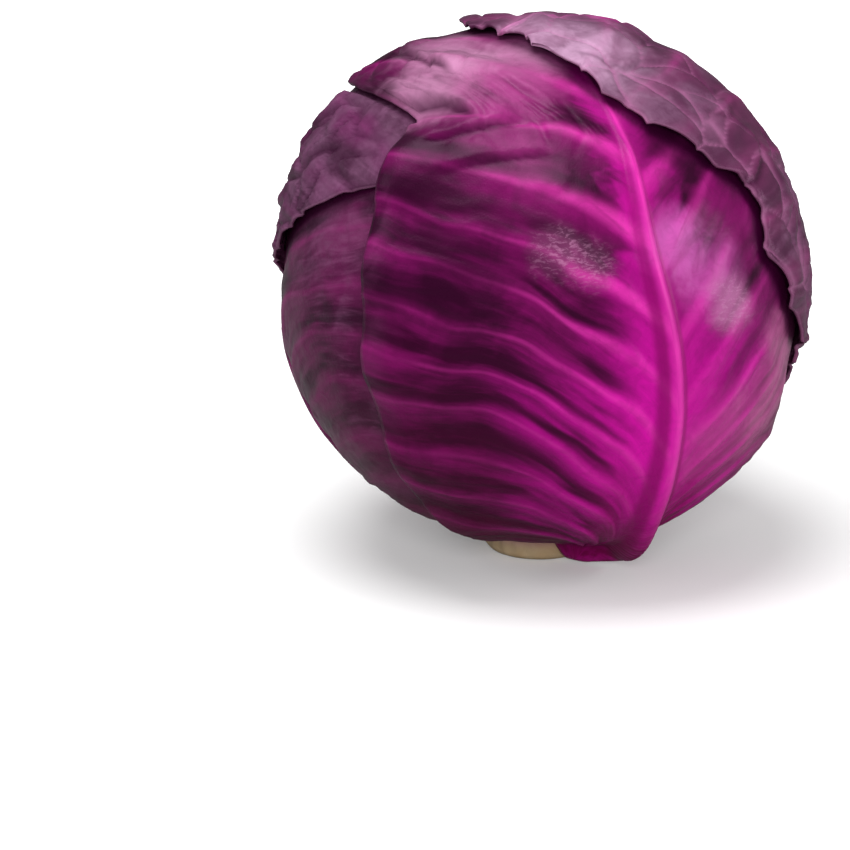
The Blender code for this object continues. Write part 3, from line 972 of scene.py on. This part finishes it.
def crinkle_tree():
    """Group with named inputs Height, Size and Seed, and the material to set at the end."""
    w, i, o = new_group(
        "leaf_crinkle",
        [("Geometry", "geometry", None), ("Height", "number", 1.0), ("Size", "number", 0.006),
         ("Seed", "number", 0.0), ("Material", "material", None)],
        [("Geometry", "geometry")], "GeometryNodeTree",
    )
    place = w.node("GeometryNodeInputPosition").outputs[0]
    amount = w.fill(w.node("GeometryNodeInputNamedAttribute", data_type="FLOAT"), Name="crinkle")["Attribute"]
    scale = w.math("DIVIDE", 1.0, i["Size"])
    coarse = crinkle_noise(w, place, scale, i["Seed"], 0.55)
    fine = crinkle_noise(w, place, w.times(scale, FINE_CRINKLE_TIMES), i["Seed"], 0.5)
    rise = w.times(w.math("MULTIPLY_ADD", fine, FINE_CRINKLE_SHARE, coarse), amount)
    outwards = w.vector("NORMALIZE", w.vector("SUBTRACT", place, tuple(BODY_CENTRE)))
    push = w.scaled(outwards, w.times(rise, i["Height"]))
    moved = w.fill(w.node("GeometryNodeSetPosition"), Geometry=i["Geometry"], Offset=push)[0]
    w.put(o["Geometry"], w.finished(moved, i["Material"]))
    return w.tree


CRINKLE = crinkle_tree()
print("crinkle tree:", len(CRINKLE.nodes), "nodes")

# %% A helper that runs a tree and keeps the result


def grown(name, source, tree, inputs):
    """Runs a tree on an object and returns a plain mesh object with the result."""
    modifier = source.modifiers.new(tree.name, "NODES")
    modifier.node_group = tree
    for item in tree.interface.items_tree:
        if item.item_type == "SOCKET" and item.in_out == "INPUT" and item.name in inputs:
            modifier[item.identifier] = inputs[item.name]
    source.update_tag()
    graph = bpy.context.evaluated_depsgraph_get()
    mesh = bpy.data.meshes.new_from_object(source.evaluated_get(graph), depsgraph=graph)
    mesh.name = name
    old = source.data
    bpy.data.objects.remove(source, do_unlink=True)
    if old.users == 0:
        bpy.data.meshes.remove(old)
    made = bpy.data.objects.new(name, mesh)
    scene.collection.objects.link(made)
    return made


print("helper ready")

# %% [markdown]
# ## Finishes
# Red cabbage owes its colour to a pigment that is bright magenta by the ribs, where the flesh is pale and
# thick, and almost black-purple in the thin blade between the veins. Over it lies wax, a grey-mauve bloom
# that rubs off where leaves touch. Each effect is a node group, and each leaf mixes them in its own way.
#
# ### Vein colour
# The count of the side veins is an attribute, so its fraction tells how far a point is above the last
# vein. The crest is a soft bright line. Just above it the blade is darkest, and it brightens again
# towards the next vein. Streaks run the same way, because their noise is stretched along the veins.

# %% Group: vein colour
STREAKS_ACROSS, STREAKS_PER_VEIN = 3.2, 2.4


def vein_group():
    w, i, o = new_group(
        "vein_colour",
        [("Phase", "number", None), ("Across", "number", None), ("Width", "number", 0.1)],
        [("Crest", "number"), ("Shade", "number"), ("Streak", "number"), ("Fine", "number")],
    )
    way = w.node("ShaderNodeCombineXYZ")
    w.put(way.inputs[0], w.times(i["Across"], STREAKS_ACROSS))
    w.put(way.inputs[1], w.times(i["Phase"], STREAKS_PER_VEIN))
    streak = w.noise(way.outputs[0], 1.0, 3.0, 0.55, 0.5)
    patchy = w.noise(way.outputs[0], 0.8, 2.0, 0.5)
    width = w.times(i["Width"], w.ramp(i["Across"], 0.05, 0.7, 1.9, 0.7))
    crest = w.ramp(w.math("DIVIDE", w.math("PINGPONG", i["Phase"], 0.5), width), 0.0, 1.0, 1.0, 0.0)
    fraction = w.math("FRACT", i["Phase"])
    above = w.times(w.ramp(fraction, 0.02, 0.30), w.ramp(fraction, 0.38, 0.95, 1.0, 0.0))
    w.put(o["Crest"], w.times(crest, w.ramp(streak, 0.30, 0.60, 0.35, 1.0)))
    w.put(o["Shade"], w.times(above, w.ramp(patchy, 0.34, 0.58, 0.25, 1.0)))
    w.put(o["Streak"], streak)
    w.put(o["Fine"], w.noise(way.outputs[0], 3.0, 3.0, 0.55, 0.4))
    return w.tree


VEIN_COLOUR = vein_group()
print("vein colour:", len(VEIN_COLOUR.nodes), "nodes")

# %% [markdown]
# ### Wax bloom
# Bloom comes in clouds several centimetres wide, broken by streaks and by fine specks where it has flaked.

# %% Group: wax bloom
CLOUDS_PER_METRE, WISPS_PER_METRE, SPECKS_PER_METRE, FACETS_PER_METRE = 24.0, 95.0, 620.0, 62.0


def bloom_group():
    w, i, o = new_group(
        "wax_bloom",
        [("Place", "vector", None), ("Streak", "number", 0.5), ("Amount", "number", 0.5)],
        [("Bloom", "number")],
    )
    cloud = w.noise(i["Place"], CLOUDS_PER_METRE, 3.0, 0.55, 0.6)
    wisp = w.noise(i["Place"], WISPS_PER_METRE, 4.0, 0.62, 1.4)
    speck = w.noise(i["Place"], SPECKS_PER_METRE, 2.0, 0.6)
    facets = w.node("ShaderNodeTexVoronoi", feature="SMOOTH_F1")
    facets = w.fill(facets, Vector=i["Place"], Scale=FACETS_PER_METRE, Smoothness=0.25)["Color"]
    level = w.math("MULTIPLY_ADD", i["Amount"], 0.8, -0.50)
    level = w.math("ADD", level, w.math("MULTIPLY_ADD", i["Streak"], 0.7, -0.35))
    level = w.math("MULTIPLY_ADD", facets, 0.30, w.math("ADD", level, -0.15))
    base = w.ramp(w.math("ADD", cloud, level), 0.25, 0.70)
    broken = w.times(base, w.ramp(wisp, 0.30, 0.62, 0.45, 1.0))
    w.put(o["Bloom"], w.times(broken, w.ramp(speck, 0.30, 0.55, 0.80, 1.0)))
    return w.tree


WAX_BLOOM = bloom_group()
print("wax bloom:", len(WAX_BLOOM.nodes), "nodes")

# %% [markdown]
# ### Patches and rubbed spots
# No two parts of a leaf have the same colour. A patch is a soft cloud round a middle, and some patches are
# painted highlights and sheen. Where heads knock together the wax turns into a cloud of pale specks, so the
# group gives the cloud with specks as well.

# %% Group: patch
SPECK_STRETCH = (0.6, 0.6, 1.5)


def patch_group():
    w, i, o = new_group(
        "soft_patch",
        [("Place", "vector", None), ("Middle", "vector", None), ("Radius", "number", 0.01)],
        [("Patch", "number"), ("Specks", "number")],
    )
    share = w.math("DIVIDE", w.vector("DISTANCE", i["Place"], i["Middle"]), i["Radius"])
    ragged = w.math("MULTIPLY_ADD", w.noise(i["Place"], 75.0, 3.0, 0.6, 0.6), 0.9, -0.45)
    inside = w.ramp(w.math("ADD", share, ragged), 0.25, 1.05, 1.0, 0.0)
    grain = w.noise(w.vector("MULTIPLY", i["Place"], SPECK_STRETCH), 700.0, 4.0, 0.72, 0.6)
    w.put(o["Patch"], inside)
    w.put(o["Specks"], w.times(inside, w.ramp(grain, 0.47, 0.66)))
    return w.tree


SOFT_PATCH = patch_group()
print("patch:", len(SOFT_PATCH.nodes), "nodes")

# %% [markdown]
# ### Skin
# Under a lens the skin shows a net of the finest veins and a grain of cells. Both are far too small to
# model, so they are a bump.

# %% Group: skin
NET_WANDER = 0.005
NET_CELLS_PER_METRE = 330.0


def skin_group():
    w, i, o = new_group(
        "leaf_skin", [("Place", "vector", None)],
        [("Height", "number"), ("Net", "number"), ("Mottle", "number")],
    )
    bend = w.fill(w.node("ShaderNodeTexNoise"), Vector=i["Place"], Scale=140.0)["Color"]
    bent = w.vector("MULTIPLY_ADD", bend, (NET_WANDER,) * 3, i["Place"])
    cells = w.node("ShaderNodeTexVoronoi", feature="DISTANCE_TO_EDGE")
    cells = w.fill(cells, Vector=bent, Scale=NET_CELLS_PER_METRE)["Distance"]
    net = w.ramp(cells, 0.0, 0.14, 1.0, 0.0)
    grain = w.noise(i["Place"], 1400.0, 2.0, 0.6)
    mottle = w.noise(i["Place"], 170.0, 5.0, 0.65, 1.0)
    w.put(o["Net"], net)
    w.put(o["Mottle"], mottle)
    w.put(o["Height"], w.math("MULTIPLY_ADD", net, 0.05, w.math("MULTIPLY_ADD", grain, 0.30, mottle)))
    return w.tree


LEAF_SKIN = skin_group()
print("skin:", len(LEAF_SKIN.nodes), "nodes")

# %% [markdown]
# ### The leaf finish
# A few functions mix the groups for every leaf, in the order in which the colours lie on a real one: blade,
# wax, rib, wear. Painted shade under folds and beside the margins of outer leaves comes last, with the wear.
# The colours are in linear light. Near the rib the magenta lies in long tongues between the veins, and far
# from it the blade is nearly black.

# %% The colours of the leaves
DEEP = (0.025, 0.0006, 0.014, 1)
WINE = (0.165, 0.0030, 0.088, 1)
MAGENTA = (0.720, 0.0050, 0.400, 1)
CREST_PINK = (0.780, 0.0450, 0.420, 1)
FLANK = (0.220, 0.0015, 0.105, 1)
# darker wine at the foot: the leaf's own colour, with painted shade of the underside
FOOT_WINE_AND_SHADE = (0.110, 0.0012, 0.032, 1)
MAUVE = (0.200, 0.0800, 0.160, 1)
DUSKY_PINK = (0.300, 0.0260, 0.170, 1)
# painted highlight right of the midrib
HIGHLIGHT_LILAC = (0.420, 0.0700, 0.300, 1)
PALE_MAUVE = (0.480, 0.2000, 0.360, 1)
SHEEN_LILAC = (0.520, 0.1100, 0.400, 1)
# painted sheen on the lit right side of the front leaf
RIGHT_SHEEN_PINK = (0.470, 0.1200, 0.285, 1)
CREASE_PINK = (0.420, 0.1400, 0.300, 1)
SHEEN_TINT = (1.000, 0.5000, 0.850, 1)
# colour of the painted shade under folds and beside the margins of outer leaves
PAINTED_SHADE = (0.030, 0.0010, 0.018, 1)
print("darkest and brightest red:", DEEP[0], CREST_PINK[0])

# %% What a leaf finish reads


class LeafSigns:
    """What the mesh tells the material at each point, and the noises that several steps share."""

    def __init__(self, w):
        self.place = w.place()
        self.distance, self.across, self.along = map(w.attribute, ("rib_distance", "across", "along"))
        self.side, self.rib, self.edge = map(w.attribute, ("rib_side", "rib", "edge"))
        # under and the fold shade attributes carry painted shade
        self.fold, self.under, self.painted_fold_shade = map(w.attribute, ("fold", "under", "painted_fold_shade"))
        self.skin = w.group(LEAF_SKIN, Place=self.place)
        self.uneven = w.noise(self.place, 34.0, 3.0, 0.6, 0.8)
        self.vein = w.group(VEIN_COLOUR, Phase=w.attribute("phase"), Across=self.across, Width=0.12)
        calm = w.ramp(self.along, 0.56, 0.72, 1.0, 0.25)
        self.fine = w.math("MULTIPLY_ADD", w.math("SUBTRACT", self.vein["Fine"], 0.5), calm, 0.5)


print("the signs are read by every leaf finish")

# %% Magenta by the rib, dark blade between the veins


def blade_colour(w, at, deep, wine, glow, glow_share, veins):
    """Colour of the bare blade, and how near the magenta a point is."""
    reach = w.math("MULTIPLY_ADD", at.uneven, 34.0, w.math("ADD", at.distance, -17.0))
    reach = w.math("MULTIPLY_ADD", at.vein["Streak"], -26.0, w.math("ADD", reach, 13.0))
    lit = w.times(w.ramp(at.side, -0.5, 0.5, *glow), w.ramp(at.along, 0.36, 0.72, 1.0, 0.22))
    near = w.ramp(w.math("DIVIDE", reach, lit), 0.30, 1.25, glow_share, 0.0)
    near = w.times(near, w.ramp(at.along, 0.44, 0.70, 1.0, 0.42))
    shade = w.times(at.vein["Shade"], w.ramp(at.distance, 5.0, 24.0, 0.0, 1.0))
    shade = w.times(shade, w.ramp(at.side, -0.5, 0.5, 1.0, 0.45))

    banded = w.math("MULTIPLY_ADD", at.vein["Shade"], -0.75, w.ramp(at.uneven, 0.30, 0.66, 0.35, 1.0))
    banded = w.math("MULTIPLY_ADD", w.ramp(at.fine, 0.40, 0.70), 0.35, banded, clamp=True)
    colour = w.mix(banded, deep, wine)
    glowing = w.times(near, w.math("MULTIPLY_ADD", shade, -0.88, 1.0))
    glowing = w.times(glowing, w.ramp(at.fine, 0.25, 0.55, 0.85, 1.0))
    colour = w.mix(w.times(glowing, w.ramp(at.side, -0.4, 0.8, 1.0, 0.72)), colour, MAGENTA)
    colour = w.mix(w.times(shade, 0.62), colour, deep)
    crest = w.times(at.vein["Crest"], w.ramp(at.distance, 4.0, 62.0, 0.50 * veins, 0.13 * veins))
    crest = w.times(crest, w.ramp(at.side, -0.5, 0.5, 1.0, 0.55))
    return w.mix(crest, colour, CREST_PINK), near


print("blade colour ready")

# %% Ribs, flanks and the foot


def rib_colours(w, at, colour, glow_share, foot):
    """The dark grooves beside the rib, its pink back and the darker wine where it meets the stem, which is
    partly its own colour and partly painted shade of the underside.
    """
    left_flank = w.times(w.ramp(at.side, -0.35, -0.80), w.ramp(at.side, -2.20, -1.20))
    right_flank = w.times(w.ramp(at.side, 0.75, 1.0), w.ramp(at.side, 1.6, 1.2))
    flank = w.times(w.math("MAXIMUM", left_flank, right_flank), w.ramp(at.along, 0.9, 0.6))
    colour = w.mix(w.times(flank, 0.70 * glow_share), colour, FLANK)
    ribbed = w.times(at.rib, w.ramp(at.along, 0.0, 0.9, 0.80, 0.50))
    colour = w.mix(w.times(ribbed, glow_share), colour, CREST_PINK)
    low = w.times(w.ramp(at.along, 0.20, 0.55, foot, 0.0), w.ramp(at.distance, 10.0, 26.0, 1.0, 0.25))
    low = w.math("MAXIMUM", low, w.ramp(at.along, 0.05, 0.26, foot, 0.0))
    return w.mix(w.times(low, w.ramp(at.fine, 0.35, 0.65, 0.72, 1.0)), colour, FOOT_WINE_AND_SHADE)


def wear_and_shade_colours(w, at, colour, folds, rubs, rim):
    """Pale crease lines and rubbed spots, painted shade under folds and beside the margins of outer leaves,
    and the pale cut edge.
    """
    colour = w.mix(w.times(w.math("POWER", at.fold, 2.5), folds), colour, CREASE_PINK)
    for middle, radius, haze in rubs:
        rub = w.group(SOFT_PATCH, Place=at.place, Middle=middle, Radius=radius)
        colour = w.mix(w.times(rub["Patch"], haze), colour, PALE_MAUVE)
        colour = w.mix(w.times(rub["Specks"], 0.36), colour, PALE_MAUVE)
    # painted shade under folds and beside the margins of outer leaves
    dark = w.math("MAXIMUM", w.times(at.under, 0.85), w.times(at.painted_fold_shade, 0.80))
    colour = w.mix(dark, colour, PAINTED_SHADE)
    return w.mix(w.ramp(at.edge, 0.1, 0.8, rim, 0.0), colour, PALE_MAUVE)


print("rib and wear colours ready")

# %% Leaf finish


def leaf_finish(name, deep=DEEP, wine=WINE, glow=(44.0, 54.0), glow_share=1.0, bloom=0.10, bloom_colour=MAUVE,
                wax_share=0.45, veins=1.0, folds=0.0, foot=0.9, band=0.0, rim=0.2, roughness=0.40, gloss=0.26,
                patches=(), rubs=()):
    """The finish of one leaf. Glow is how far the magenta reaches from the rib on each side, in mm."""
    material, w, shader = new_material(name)
    at = LeafSigns(w)
    colour, near = blade_colour(w, at, deep, wine, glow, glow_share, veins)
    # patches: the leaf's own tints, and painted highlights and sheen where a list gives them
    for middle, radius, tint, strength in patches:
        patch = w.group(SOFT_PATCH, Place=at.place, Middle=middle, Radius=radius)["Patch"]
        streaky = w.times(patch, w.ramp(at.vein["Streak"], 0.30, 0.62, 0.45 * strength, strength))
        colour = w.mix(streaky, colour, tint)

    wax = w.group(WAX_BLOOM, Place=at.place, Streak=at.fine, Amount=bloom)["Bloom"]
    wax = w.times(wax, w.math("MULTIPLY_ADD", near, -0.80, 1.0))
    colour = w.mix(w.times(wax, wax_share), colour, bloom_colour)
    colour = w.mix(w.times(w.ramp(at.skin["Mottle"], 0.44, 0.66), 0.14), colour, deep)
    curl = w.times(w.ramp(at.edge, 6.5, 2.0, 0.0, band), w.ramp(at.uneven, 0.42, 0.62))
    colour = w.mix(w.times(curl, w.ramp(at.vein["Streak"], 0.3, 0.6, 0.5, 1.0)), colour, MAUVE)
    colour = rib_colours(w, at, colour, glow_share, foot)
    colour = wear_and_shade_colours(w, at, colour, folds, rubs, rim)

    rough = w.math("MULTIPLY_ADD", at.skin["Mottle"], 0.16, roughness - 0.08)
    w.fill(
        shader, Base_Color=colour, Roughness=w.math("MULTIPLY_ADD", wax, 0.20, rough),
        Normal=w.bump(w.math("MULTIPLY_ADD", at.fine, 0.5, at.skin["Height"]), 0.30),
    )
    shader.inputs["Specular IOR Level"].default_value = gloss
    shader.inputs["Specular Tint"].default_value = SHEEN_TINT
    shader.inputs["Coat Weight"].default_value = 0.03
    shader.inputs["Coat Roughness"].default_value = 0.32
    return material


print("leaf finish ready")

# %% The finish of each leaf
SPOT_RADIUS = 0.0815
DARK_PATCH = (0.075, 0.018, 0.050, 1)
# wax bloom with a painted highlight, for the top of the cap
BLOOM_AND_SHEEN = (0.520, 0.300, 0.460, 1)


def spot(azimuth, latitude, radius, *look):
    """Middle and radius of a patch or a rubbed spot on the head."""
    return tuple(on_head(azimuth, latitude) * SPOT_RADIUS + BODY_CENTRE), radius, *look


# The pale mauve patches high on the left are wax bloom with a painted sheen. The lilac spots right of the
# midrib are painted highlights, and the pink patches low on the right paint the light on that side.
FRONT_PATCHES = [
    spot(-48, 62, 0.026, PALE_MAUVE, 0.75), spot(-75, 70, 0.022, PALE_MAUVE, 0.65),
    spot(-25, 72, 0.024, PALE_MAUVE, 0.70), spot(-14, 63, 0.020, DUSKY_PINK, 0.8),
    spot(-12, 50, 0.016, DUSKY_PINK, 0.45), spot(-2, 41, 0.012, DUSKY_PINK, 0.35),
    spot(-27, 33, 0.017, DEEP, 0.85), spot(-16, 17, 0.024, DEEP, 0.75), spot(2, 22, 0.010, DEEP, 0.6),
    spot(-34, 12, 0.016, DEEP, 0.6), spot(50, 26, 0.016, WINE, 0.9), spot(44, 41, 0.012, DEEP, 0.75),
    spot(30, 45, 0.010, WINE, 0.6), spot(40, 14, 0.016, HIGHLIGHT_LILAC, 0.6), spot(31, 22, 0.014, SHEEN_LILAC, 0.65),
    spot(68, -14, 0.030, RIGHT_SHEEN_PINK, 0.80), spot(60, -2, 0.012, RIGHT_SHEEN_PINK, 0.5),
    spot(50, -24, 0.028, RIGHT_SHEEN_PINK, 0.40),
]
FRONT_RUBS = [spot(4, 23, 0.011, 0.10), spot(11, 20, 0.010, 0.10), spot(43, 8, 0.012, 0.36)]
# The pale patch on top of the cap is wax bloom with a painted highlight.
CAP_PATCHES = [spot(20, 74, 0.034, BLOOM_AND_SHEEN, 0.80), spot(56, 38, 0.015, DARK_PATCH, 0.7)]

FINISHES = {
    "front_leaf": leaf_finish(
        "front_leaf_skin", bloom=0.02, bloom_colour=(0.240, 0.050, 0.170, 1), wax_share=0.20, band=0.10,
        folds=0.10, gloss=0.15, rim=0.03, patches=FRONT_PATCHES, rubs=FRONT_RUBS,
    ),
    "cap_leaf": leaf_finish(
        "cap_leaf_skin", deep=(0.060, 0.012, 0.040, 1), wine=(0.130, 0.022, 0.078, 1), glow=(8.0, 8.0),
        glow_share=0.4, bloom=0.52, bloom_colour=(0.160, 0.070, 0.130, 1), wax_share=0.85, veins=0.35,
        folds=0.45, roughness=0.42, patches=CAP_PATCHES,
    ),
    "shoulder_leaf": leaf_finish(
        "shoulder_leaf_skin", wine=(0.110, 0.012, 0.070, 1), glow=(14.0, 14.0), glow_share=0.5,
        bloom=0.57, wax_share=0.7, veins=0.5,
    ),
    "left_leaf": leaf_finish(
        "left_leaf_skin", wine=(0.120, 0.008, 0.065, 1), glow=(12.0, 12.0), glow_share=0.12,
        bloom=0.34, wax_share=0.5, veins=0.6,
    ),
    "back_leaf": leaf_finish("back_leaf_skin", glow=(18.0, 18.0), bloom=0.6, veins=0.8),
    "right_leaf": leaf_finish("right_leaf_skin", glow=(16.0, 16.0), bloom=0.6, veins=0.6),
}
print("finishes:", sorted(FINISHES))

# %% [markdown]
# ## Growing the leaves
# Each leaf goes through the same steps: grid, faces, shell, crinkles, finish. It then stands in for its
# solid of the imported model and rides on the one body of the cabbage.

# %% Leaves
CRINKLE_SIZE = {"shoulder_leaf": 0.0062, "cap_leaf": 0.013, "front_leaf": 0.0085}
for number, leaf in enumerate(LEAVES):
    rough = bpy.data.objects.new(leaf.name + "_rough", leaf_mesh(number))
    scene.collection.objects.link(rough)
    values = {
        "Height": 1.0,
        "Size": CRINKLE_SIZE.get(leaf.name, 0.008),
        "Seed": float(number),
        "Material": FINISHES[leaf.name],
    }
    blade = grown(leaf.name + "_blade", rough, CRINKLE, values)
    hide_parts(leaf.name)
    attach(blade, "root")
    print(leaf.name, len(blade.data.polygons), "faces")

# %% [markdown]
# ## The inner head
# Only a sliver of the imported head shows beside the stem. Its solid has the right shape, so it stays and
# takes a finish of its own: clouds of wine and magenta under wax, with the net of the finest veins.

# %% Inner head finish
INNER_DARK = (0.12, 0.006, 0.075, 1)
INNER_BRIGHT = (0.32, 0.020, 0.180, 1)


def inner_finish():
    material, w, shader = new_material("inner_head_skin")
    place = w.place()
    clouds = w.noise(place, 40.0, 3.0, 0.6, 0.8)
    skin = w.group(LEAF_SKIN, Place=place)
    wax = w.group(WAX_BLOOM, Place=place, Streak=0.5, Amount=0.5)["Bloom"]
    colour = w.mix(w.ramp(clouds, 0.35, 0.65), INNER_DARK, INNER_BRIGHT)
    colour = w.mix(w.times(wax, 0.6), colour, MAUVE)
    colour = w.mix(w.times(skin["Net"], 0.25), colour, CREST_PINK)
    rough = w.math("MULTIPLY_ADD", clouds, 0.2, 0.38)
    w.fill(shader, Base_Color=colour, Roughness=rough, Normal=w.bump(skin["Height"], 0.4))
    return material


inner_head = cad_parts["inner_head"]
inner_skin = inner_finish()
if not inner_head.material_slots:
    inner_head.data.materials.append(inner_skin)
for held in inner_head.material_slots:
    held.material = inner_skin
print("inner head keeps", len(inner_head.data.polygons), "faces")

# %% [markdown]
# ## The cut stem
# The stem is cream flesh inside a tougher skin. The knife leaves a flat face with a ring of pale bundles, the
# pipes that fed the leaves. The flesh round them dries and shrinks, so they stand a little proud, and the
# head rests on them.

# %% Stem body
STEM_RADIUS = 0.0165
STEM_SHOULDER_RADIUS = 0.0175
STEM_NECK_RADIUS = 0.0150
CORE_TIP_RADIUS = 0.0085
CORE_TOP = 0.070
CUT_HEIGHT = 0.00025
CUT_DOME = 0.0002
STEM_CLEARANCE = 0.0001
NECK_TOP = 0.018
CORE_RISE = 0.042
TIP_CENTRE = 0.0608
STEM_STEPS = 180
FLUTES = 17
FLUTE_DEPTH = 0.00045

neck = STEM_NECK_RADIUS - STEM_CLEARANCE
profile = [(0.0, CUT_HEIGHT + CUT_DOME)]
profile += [
    (share * (STEM_RADIUS - 0.0012), CUT_HEIGHT + CUT_DOME * (1 - share))
    for share in np.linspace(0.04, 1, 40)
]
profile += [(STEM_RADIUS - 0.0005, 0.0003), (STEM_RADIUS - STEM_CLEARANCE, 0.0007)]
profile += [
    (STEM_SHOULDER_RADIUS - 0.0006 * ((height - 0.0042) / 0.0030) ** 2, height)
    for height in np.linspace(0.0014, 0.0068, 14)
]
profile += [(neck, height) for height in np.linspace(0.0112, NECK_TOP, 8)]
profile += [
    (neck + (CORE_TIP_RADIUS - STEM_NECK_RADIUS) * share, NECK_TOP + CORE_RISE * share)
    for share in np.linspace(0.1, 1, 16)
]
profile += [
    (CORE_TIP_RADIUS * math.cos(angle), TIP_CENTRE + CORE_TIP_RADIUS * math.sin(angle))
    for angle in np.radians((15, 35, 55, 75))
]
profile += [(0.0, CORE_TOP - 0.0003)]


def fluted_ring(radius, height):
    """One ring of the stem, with the shallow flutes that run down from the leaves."""
    angle = np.arange(STEM_STEPS) * 2 * math.pi / STEM_STEPS
    flutes = 0.5 + 0.5 * np.sin(angle * FLUTES + 2.0 * np.sin(angle * 3))
    shown = smooth_step((height - 0.0004) / 0.003) * smooth_step((0.03 - height) / 0.01)
    radii = radius - FLUTE_DEPTH * flutes * shown
    return [(r * np.cos(a), r * np.sin(a), height) for r, a in zip(radii, angle)]


def turned(name, profile):
    """A closed mesh of fluted rings between the two ends of a profile of (radius, height)."""
    points, faces = [(0.0, 0.0, profile[0][1])], []
    for radius, height in profile[1:-1]:
        points += fluted_ring(radius, height)
    points.append((0.0, 0.0, profile[-1][1]))
    last = len(points) - 1 - STEM_STEPS
    for k in range(STEM_STEPS):
        after = (k + 1) % STEM_STEPS
        faces.append((0, 1 + after, 1 + k))
        for low in range(1, last, STEM_STEPS):
            high = low + STEM_STEPS
            faces.append((low + k, low + after, high + after, high + k))
        faces.append((last + k, last + after, len(points) - 1))
    mesh = bpy.data.meshes.new(name)
    mesh.from_pydata(points, [], faces)
    mesh.shade_smooth()
    return mesh


stem_mesh = turned("stem_flesh", profile)
stem_flesh = bpy.data.objects.new("stem_flesh", stem_mesh)
scene.collection.objects.link(stem_flesh)
print("stem:", len(stem_mesh.polygons), "faces")

# %% Bundles on the cut face
DOME_HEIGHT_SHARE = 0.42
DOME_LIFT = 0.0003
SMALLEST_BUNDLE = 0.55


def bundle_tree():
    """Points on a ring, each with a low dome, as in the cut face of a stem."""
    w, i, o = new_group(
        "stem_bundles",
        [("Geometry", "geometry", None), ("Ring Radius", "number", 0.0115), ("Spread", "number", 0.0012),
         ("Dot Radius", "number", 0.0006), ("Count", "count", 44), ("Seed", "count", 4),
         ("Material", "material", None)],
        [("Geometry", "geometry")], "GeometryNodeTree",
    )
    ring = w.fill(w.node("GeometryNodeCurvePrimitiveCircle"), Radius=i["Ring Radius"])[0]
    points = w.fill(w.node("GeometryNodeCurveToPoints", mode="COUNT"), Curve=ring, Count=i["Count"])[0]
    chance = w.node("FunctionNodeRandomValue", data_type="FLOAT_VECTOR")
    chance = w.fill(chance, Min=(-1, -1, 0), Max=(1, 1, 0), Seed=i["Seed"])[0]
    shift = w.scaled(chance, i["Spread"])
    scattered = w.fill(w.node("GeometryNodeSetPosition"), Geometry=points, Offset=shift)[0]
    dot = w.node("GeometryNodeMeshUVSphere")
    dot = w.fill(dot, Segments=10, Rings=6, Radius=i["Dot Radius"])["Mesh"]
    dome = w.fill(
        w.node("GeometryNodeTransform"),
        Geometry=dot, Scale=(1, 1, DOME_HEIGHT_SHARE), Translation=(0, 0, DOME_LIFT),
    )[0]
    size = w.node("FunctionNodeRandomValue", data_type="FLOAT")
    w.put(size.inputs[2], SMALLEST_BUNDLE)
    w.put(size.inputs[3], 1.0)
    w.put(size.inputs["Seed"], i["Seed"])
    copies = w.node("GeometryNodeInstanceOnPoints")
    copies = w.fill(copies, Points=scattered, Instance=dome, Scale=size.outputs[1])[0]
    w.put(o["Geometry"], w.finished(copies, i["Material"]))
    return w.tree


BUNDLES = bundle_tree()
print("bundle tree:", len(BUNDLES.nodes), "nodes")

# %% [markdown]
# ### Stem finish
# The flesh is cream, browner in the outer millimetre where the air has dried it, and pinkish up the side
# where the leaves begin. Fine rings and fibres show on the face.

# %% Stem finish
DRIED_RIM = (0.36, 0.23, 0.12, 1)
FIBRE_BROWN = (0.42, 0.31, 0.17, 1)
NECK_PINK = (0.50, 0.12, 0.30, 1)
BUNDLE_COUNT, BUNDLE_SEED, BUNDLE_RING_RADIUS = 44, 4, 0.0115


def stem_finish(name, flesh, dried, roughness):
    material, w, shader = new_material(name)
    place = w.place()
    height = w.fill(w.node("ShaderNodeSeparateXYZ"), Vector=place)[2]
    radius = w.vector("LENGTH", w.vector("MULTIPLY", place, (1, 1, 0)))
    fibre = w.noise(place, 900.0, 4.0, 0.65, 0.5)
    stain = w.noise(place, 160.0, 4.0, 0.6, 1.0)
    rim = w.ramp(w.math("MULTIPLY_ADD", stain, 0.004, radius), 0.0150, 0.0186)
    colour = w.mix(w.ramp(stain, 0.35, 0.75), flesh, dried)
    colour = w.mix(w.times(rim, 0.8), colour, DRIED_RIM)
    colour = w.mix(w.times(w.ramp(height, 0.003, 0.010), 0.7), colour, NECK_PINK)
    colour = w.mix(w.ramp(fibre, 0.5, 0.8, 0.0, 0.35), colour, FIBRE_BROWN)
    rough = w.math("MULTIPLY_ADD", fibre, 0.2, roughness)
    bump = w.bump(w.math("ADD", fibre, stain), 0.5, 0.0003)
    w.fill(shader, Base_Color=colour, Roughness=rough, Normal=bump)
    return material


stem_mesh.materials.append(stem_finish("stem_flesh_skin", (0.83, 0.74, 0.52, 1), (0.66, 0.53, 0.32, 1), 0.55))
bundle_skin = stem_finish("stem_bundle_skin", (0.88, 0.82, 0.64, 1), (0.76, 0.66, 0.44, 1), 0.45)
seed = bpy.data.objects.new("bundle_seed", bpy.data.meshes.new("bundle_seed"))
scene.collection.objects.link(seed)
ring = {"Count": BUNDLE_COUNT, "Seed": BUNDLE_SEED, "Ring Radius": BUNDLE_RING_RADIUS}
bundles = grown("stem_bundles", seed, BUNDLES, {**ring, "Material": bundle_skin})
for piece in (stem_flesh, bundles):
    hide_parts("stem")
    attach(piece, "root")
print("bundles:", len(bundles.data.polygons), "faces")

# %% [markdown]
# ## Sizes
# The finer cabbage has to fill the same box as the imported one. The last lines print the box of what is
# drawn.

# %% Box of the drawn cabbage
visual_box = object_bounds()
for word, corner in zip(("low", "high"), visual_box):
    print(word, [round(value * 1000, 1) for value in corner])
